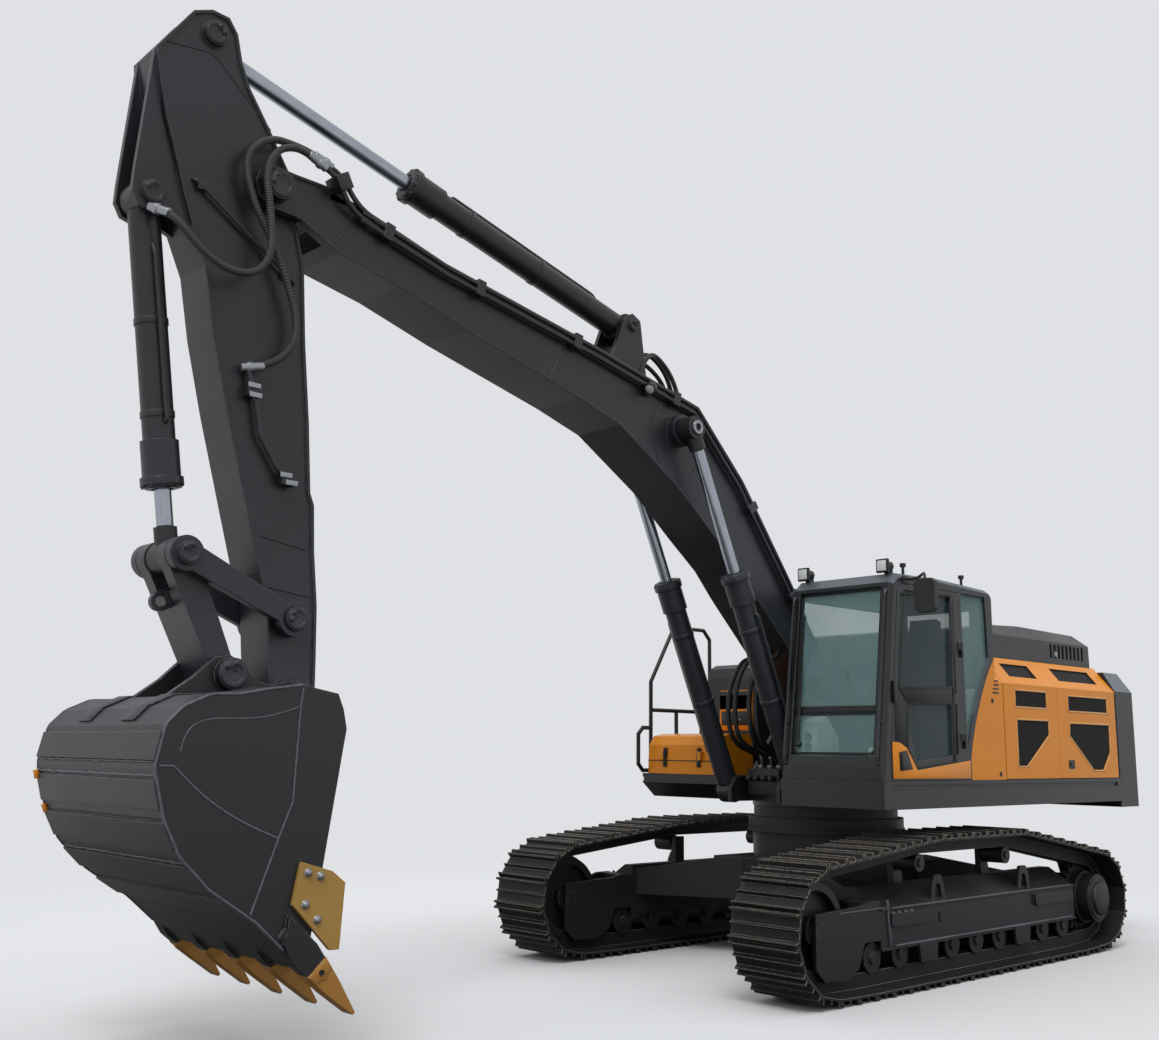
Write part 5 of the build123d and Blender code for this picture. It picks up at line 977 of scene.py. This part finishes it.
# Bright clamps hold the stick's pipe, and a small round work lamp stands on the boom's left side.
clamps = []
for x, z, turn in ((6.022, 3.886, 0.2), (5.757, 3.370, 0.75)):
    for shift in (-0.03, 0.03):
        clamps.append(traced([(x + shift * math.sin(turn) + a, 0.2255, z + shift * math.cos(turn) + b)
                              for a, b in ((-0.042, -0.016), (0.042, -0.016), (0.042, 0.016),
                                           (-0.042, 0.016))],
                             (0, 0.008, 0)))
joined(clamps, "stick_pipe_clamps", satin_steel, "stick", "worn_steel", 0.002)
bracket = facing_y(0.245, [(2.54, 4.55), (2.62, 4.55), (2.62, 4.64), (2.54, 4.64)], 0.008)
housing = turned([(-0.05, 0.0), (-0.05, 0.03), (-0.02, 0.046), (0.02, 0.05), (0.028, 0.05), (0.028, 0.042),
                  (0.02, 0.04), (0.02, 0.0)], (2.60, 0.30, 4.60), (0.75, 0.2, -0.6), 28)
joined([bracket, housing], "boom_lamp", black_plastic, "boom", "black_plastic")
turned([(0.0, 0.0), (0.0, 0.04), (0.006, 0.036), (0.012, 0.02), (0.013, 0.0)], (2.615, 0.304, 4.588),
       (0.75, 0.2, -0.6), 28)
settled("boom_lamp_lens", lens, "boom", "tinted_glass")


# ---- Bucket ----
# Rolled plate with wear straps across its back, bolted side cutters and cast teeth. Its paint is
# scraped to pale steel along every plate edge and weld, and its pale edges and top faces are also painted
# highlights.
bucket_paint = sprayed("bucket_paint", (0.0145, 0.0155, 0.0185), 0.42, edge_wear_and_highlight=(0.24, 0.25, 0.27), dust_and_top_light=0.5,
                       rub_and_highlight=0.75,
                       round_off=0.009, top_dust_and_light_colour=(0.11, 0.12, 0.14))
dress("bucket", bucket_paint)
tooth_bronze = sprayed("tooth_bronze", (0.50, 0.235, 0.045), 0.42, edge_wear_and_highlight=(0.66, 0.42, 0.16), dust_and_top_light=0.3, rub_and_highlight=0.9,
                       top_dust_and_light_colour=(0.2, 0.13, 0.06))
dress("bucket_teeth", tooth_bronze)
cutter_gold = sprayed("cutter_gold", (0.50, 0.29, 0.07), 0.48, edge_wear_and_highlight=(0.66, 0.5, 0.24), dust_and_top_light=0.1, rub_and_highlight=0.7)
dress("side_cutters", cutter_gold)

scraped = sprayed("scraped_paint", (0.10, 0.107, 0.125), 0.4, edge_wear_and_highlight=(0.3, 0.31, 0.33), dust_and_top_light=0.3, rub_and_highlight=0.9,
                  top_dust_and_light_colour=(0.16, 0.17, 0.19))
seams = side_beads([[(5.919, 2.06), (5.931, 1.959), (5.951, 1.426)],
                    [(5.951, 1.44), (6.027, 1.247), (6.171, 0.858)],
                    [(6.735, 1.635), (6.651, 1.633)]], 0.8)
for side in (1, -1):
    seams.append(drawn([(x, side * 0.8, z) for x, z in ((6.655, 1.634), (6.56, 1.545), (6.448, 1.454),
                                                        (6.237, 1.328), (6.027, 1.247))], 0.006))
    seams.append(drawn([(x, side * 0.8, z) for x, z in ((6.624, 1.707), (6.61, 1.80), (6.53, 1.868),
                                                        (6.411, 1.884),
                                                        (6.203, 1.885), (6.061, 1.916), (5.931, 1.959))],
                       0.004))
for side in (1, -1):
    seams.append(drawn([(x, side * 0.799, z) for x, z in (
        (5.924, 2.078), (6.128, 2.049), (6.307, 2.014), (6.471, 2.008), (6.621, 1.939), (6.712, 1.846),
        (6.759, 1.626), (6.692, 1.371), (6.594, 1.178), (6.414, 0.999), (6.139, 0.819), (5.96, 0.66))], 0.008,
                       2))
joined(seams, "bucket_welds", scraped, "bucket", "worn_steel")

# A ragged weld runs along the lower edge of each wear strap, from side to side of the wrapper.
ragged = []
for x, z in ((6.759, 1.655), (6.752, 1.585), (6.715, 1.452), (6.648, 1.283), (6.560, 1.142), (6.470, 1.052),
             (6.330, 0.942), (6.215, 0.866)):
    spots = [(x + 0.003 * math.sin(step * 2.4), -0.79 + 0.079 * step, z + 0.004 * math.cos(step * 3.1))
             for step in range(21)]
    ragged.append(drawn(spots, 0.0055))
joined(ragged, "strap_welds", scraped, "bucket", "worn_steel")

rows = []
for side in (1, -1):
    heads = [(5.85, side * 0.83, 1.062), (5.771, side * 0.83, 1.04), (5.858, side * 0.83, 0.894),
             (5.78, side * 0.83, 0.809)]
    turned([(-0.003, 0.0), (-0.003, 0.026), (0.004, 0.026), (0.006, 0.019), (0.014, 0.018), (0.02, 0.012),
            (0.021, 0.0)], heads[0], (0, side, 0), 20)
    rows.append(repeated(heads))
joined(rows, "cutter_bolts", satin_steel, "bucket", "worn_steel", 0.001)

# The ears' feet run on as doubler straps over the top of the wrapper.
doublers = []
for y in (-0.375, 0.215):
    doublers.append(traced([(x, y, z) for x, z in (
        (6.27, 2.020), (6.471, 2.008), (6.624, 1.940), (6.694, 1.866), (6.703, 1.874), (6.632, 1.952),
        (6.474, 2.022), (6.27, 2.032))], (0, 0.16, 0)))
joined(doublers, "wrapper_doublers", bucket_paint, "bucket", "charcoal_paint", 0.003)

# Each tooth is pinned from the side, with a raised collar on both flanks and a rib on both faces.
root, tip = Vector((5.770, 0, 0.560)), Vector((5.520, 0, 0.290))
dig = (tip - root).normalized()
lift = Vector((dig.z, 0, -dig.x))
collars, pins = [], []
for step in range(5):
    y = 0.781 - 0.3905 * step
    at = root + Vector((0, y, 0))
    for side in (1, -1):
        flat = [at + dig * a + lift * b + Vector((0, side * 0.054, 0)) for a, b in (
            (0.004, -0.07), (0.07, -0.062), (0.075, -0.02), (0.095, 0.0), (0.075, 0.02), (0.07, 0.062),
            (0.004, 0.07))]
        collars.append(traced(flat, (0, side * 0.006, 0)))
        pins.append(turned([(-0.003, 0.0), (-0.003, 0.015), (0.008, 0.015), (0.006, 0.009), (0.006, 0.0)],
                           at + dig * 0.04 + Vector((0, side * 0.06, 0)), (0, side, 0), 18))
    for face in (1, -1):
        rib = [at + dig * a + lift * (face * b) + Vector((0, -0.014, 0)) for a, b in (
            (0.01, 0.070), (0.03, 0.082), (0.14, 0.062), (0.26, 0.032), (0.26, 0.02), (0.01, 0.06))]
        collars.append(traced(rib, (0, 0.028, 0)))
joined(collars, "tooth_ribs", tooth_bronze, "bucket", "orange_paint", 0.003)
joined(pins, "tooth_pins", black_plastic, "bucket", "worn_steel")

# Three small orange blocks mark the right-hand ends of the wear straps.
marks = []
for x, z, lean in ((6.742, 1.74, -0.3), (6.768, 1.56, 0.25), (6.70, 1.36, 0.42)):
    along = Vector((math.sin(lean), 0, math.cos(lean)))
    out = Vector((math.cos(lean), 0, -math.sin(lean)))
    at = Vector((x, -0.803, z)) - out * 0.014
    marks.append(traced([at - along * 0.026, at + along * 0.026, at + along * 0.026 + out * 0.022,
                         at - along * 0.026 + out * 0.022], (0, 0.035, 0)))
joined(marks, "strap_marks", orange_enamel, "bucket", "orange_paint", 0.002)


# ---- Hoses over the boom tip ----
# Wire-braided rubber hoses with a ribbed sleeve carry oil from the boom's pipes to the stick's pipes and the
# bucket cylinder. They hang in loops so that the stick can swing, with crimped steel ends.
def sleeved(name, turns):
    """Grey-brown ribbed sleeve: so many ribs along the hose, painted paler on their crests and darker in
    their grooves as painted light and shade, with dusty patches.
    """
    material, place, shader = new_finish(name)
    run = place.node("ShaderNodeUVMap", output="UV")
    rib = run.axis("X") * turns
    wave = (rib * math.tau).sum("SINE", rib * math.tau) * 0.5 + 0.5
    grit = place.noise(60.0, 4.0)
    # The rib crests are painted paler and the grooves darker: painted highlight and shade on the ribs.
    tone = flat_colour(place, (0.022, 0.0215, 0.0215)).blend(wave.band(0.35, 0.95),
                                                             (0.062, 0.060, 0.059, 1.0))
    tone = tone.blend(grit.band(0.5, 0.8) * 0.4, (0.10, 0.096, 0.09, 1.0))
    bump = place.node("ShaderNodeBump", {"Strength": 0.7, "Distance": 0.004, "Height": wave})
    feed(shader, Base_Color=tone, Normal=bump, Roughness=0.55 + (grit - 0.5) * 0.2)
    return material


# Steel pipes lift the boom's two oil lines from its upper edge to the hoses, over a bracket with a clamp
# block.
lines = [drawn([(5.27, 0.267, 5.238), (5.34, 0.267, 5.262), (5.42, 0.268, 5.33), (5.48, 0.262, 5.42),
                (5.55, 0.252, 5.475), (5.626, 0.25, 5.505)], 0.019),
         drawn([(5.27, 0.267, 5.182), (5.36, 0.267, 5.205), (5.47, 0.285, 5.27), (5.54, 0.305, 5.37),
                (5.61, 0.312, 5.42), (5.70, 0.31, 5.455)], 0.019)]
block = facing_y(0.205, [(5.46, 5.36), (5.55, 5.31), (5.60, 5.40), (5.51, 5.455)], 0.14)
foot = facing_y(0.214, [(5.44, 5.27), (5.56, 5.28), (5.57, 5.36), (5.47, 5.37)], 0.012)
joined([*lines, block, foot], "boom_tip_pipes", arm_paint, "boom", "charcoal_paint", 0.002)
RIB_PITCH, TIP_HOSE_RADIUS = 0.013, 0.024
loops = (
    ("hose_to_stick_pipe", 0.25, ((5.626, 5.505), (5.72, 5.535), (5.87, 5.55), (6.029, 5.54), (6.162, 5.425),
                                  (6.187, 5.282), (6.119, 5.073), (5.989, 4.882), (5.828, 4.563),
                                  (5.757, 4.318), (5.838, 4.135), (5.975, 4.04), (6.06, 4.03))),
    ("hose_to_bucket_cylinder", 0.31, ((5.70, 5.455), (5.78, 5.49), (5.89, 5.505), (6.01, 5.447),
                                       (6.084, 5.284), (6.033, 5.034), (6.001, 4.746), (6.108, 4.585),
                                       (6.307, 4.562), (6.507, 4.663), (6.644, 4.81), (6.70, 4.84))),
)
for name, y, line in loops:
    spots = [(x, y, z) for x, z in line]
    if name == "hose_to_stick_pipe":
        spots[-1] = (6.06, 0.201, 4.03)
        spots[-2] = (5.99, 0.215, 4.045)
    else:
        spots[-1] = (6.715, 0.20, 4.86)
    length = sum((Vector(b) - Vector(a)).length for a, b in zip(spots, spots[1:]))
    hose = drawn(spots, TIP_HOSE_RADIUS)
    coated(hose, name, sleeved(f"{name}_sleeve", round(length / RIB_PITCH)))
    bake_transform(hose)
    first, second = Vector(spots[0]), Vector(spots[1])
    near, far = Vector(spots[-2]), Vector(spots[-1])
    for at, way, body, place_name in ((first, second - first, "boom", "upper"),
                                      (far, near - far, "stick", "lower")):
        crimp(at, way, TIP_HOSE_RADIUS)
        settled(f"{name}_{place_name}_end", satin_steel, body, "worn_steel")
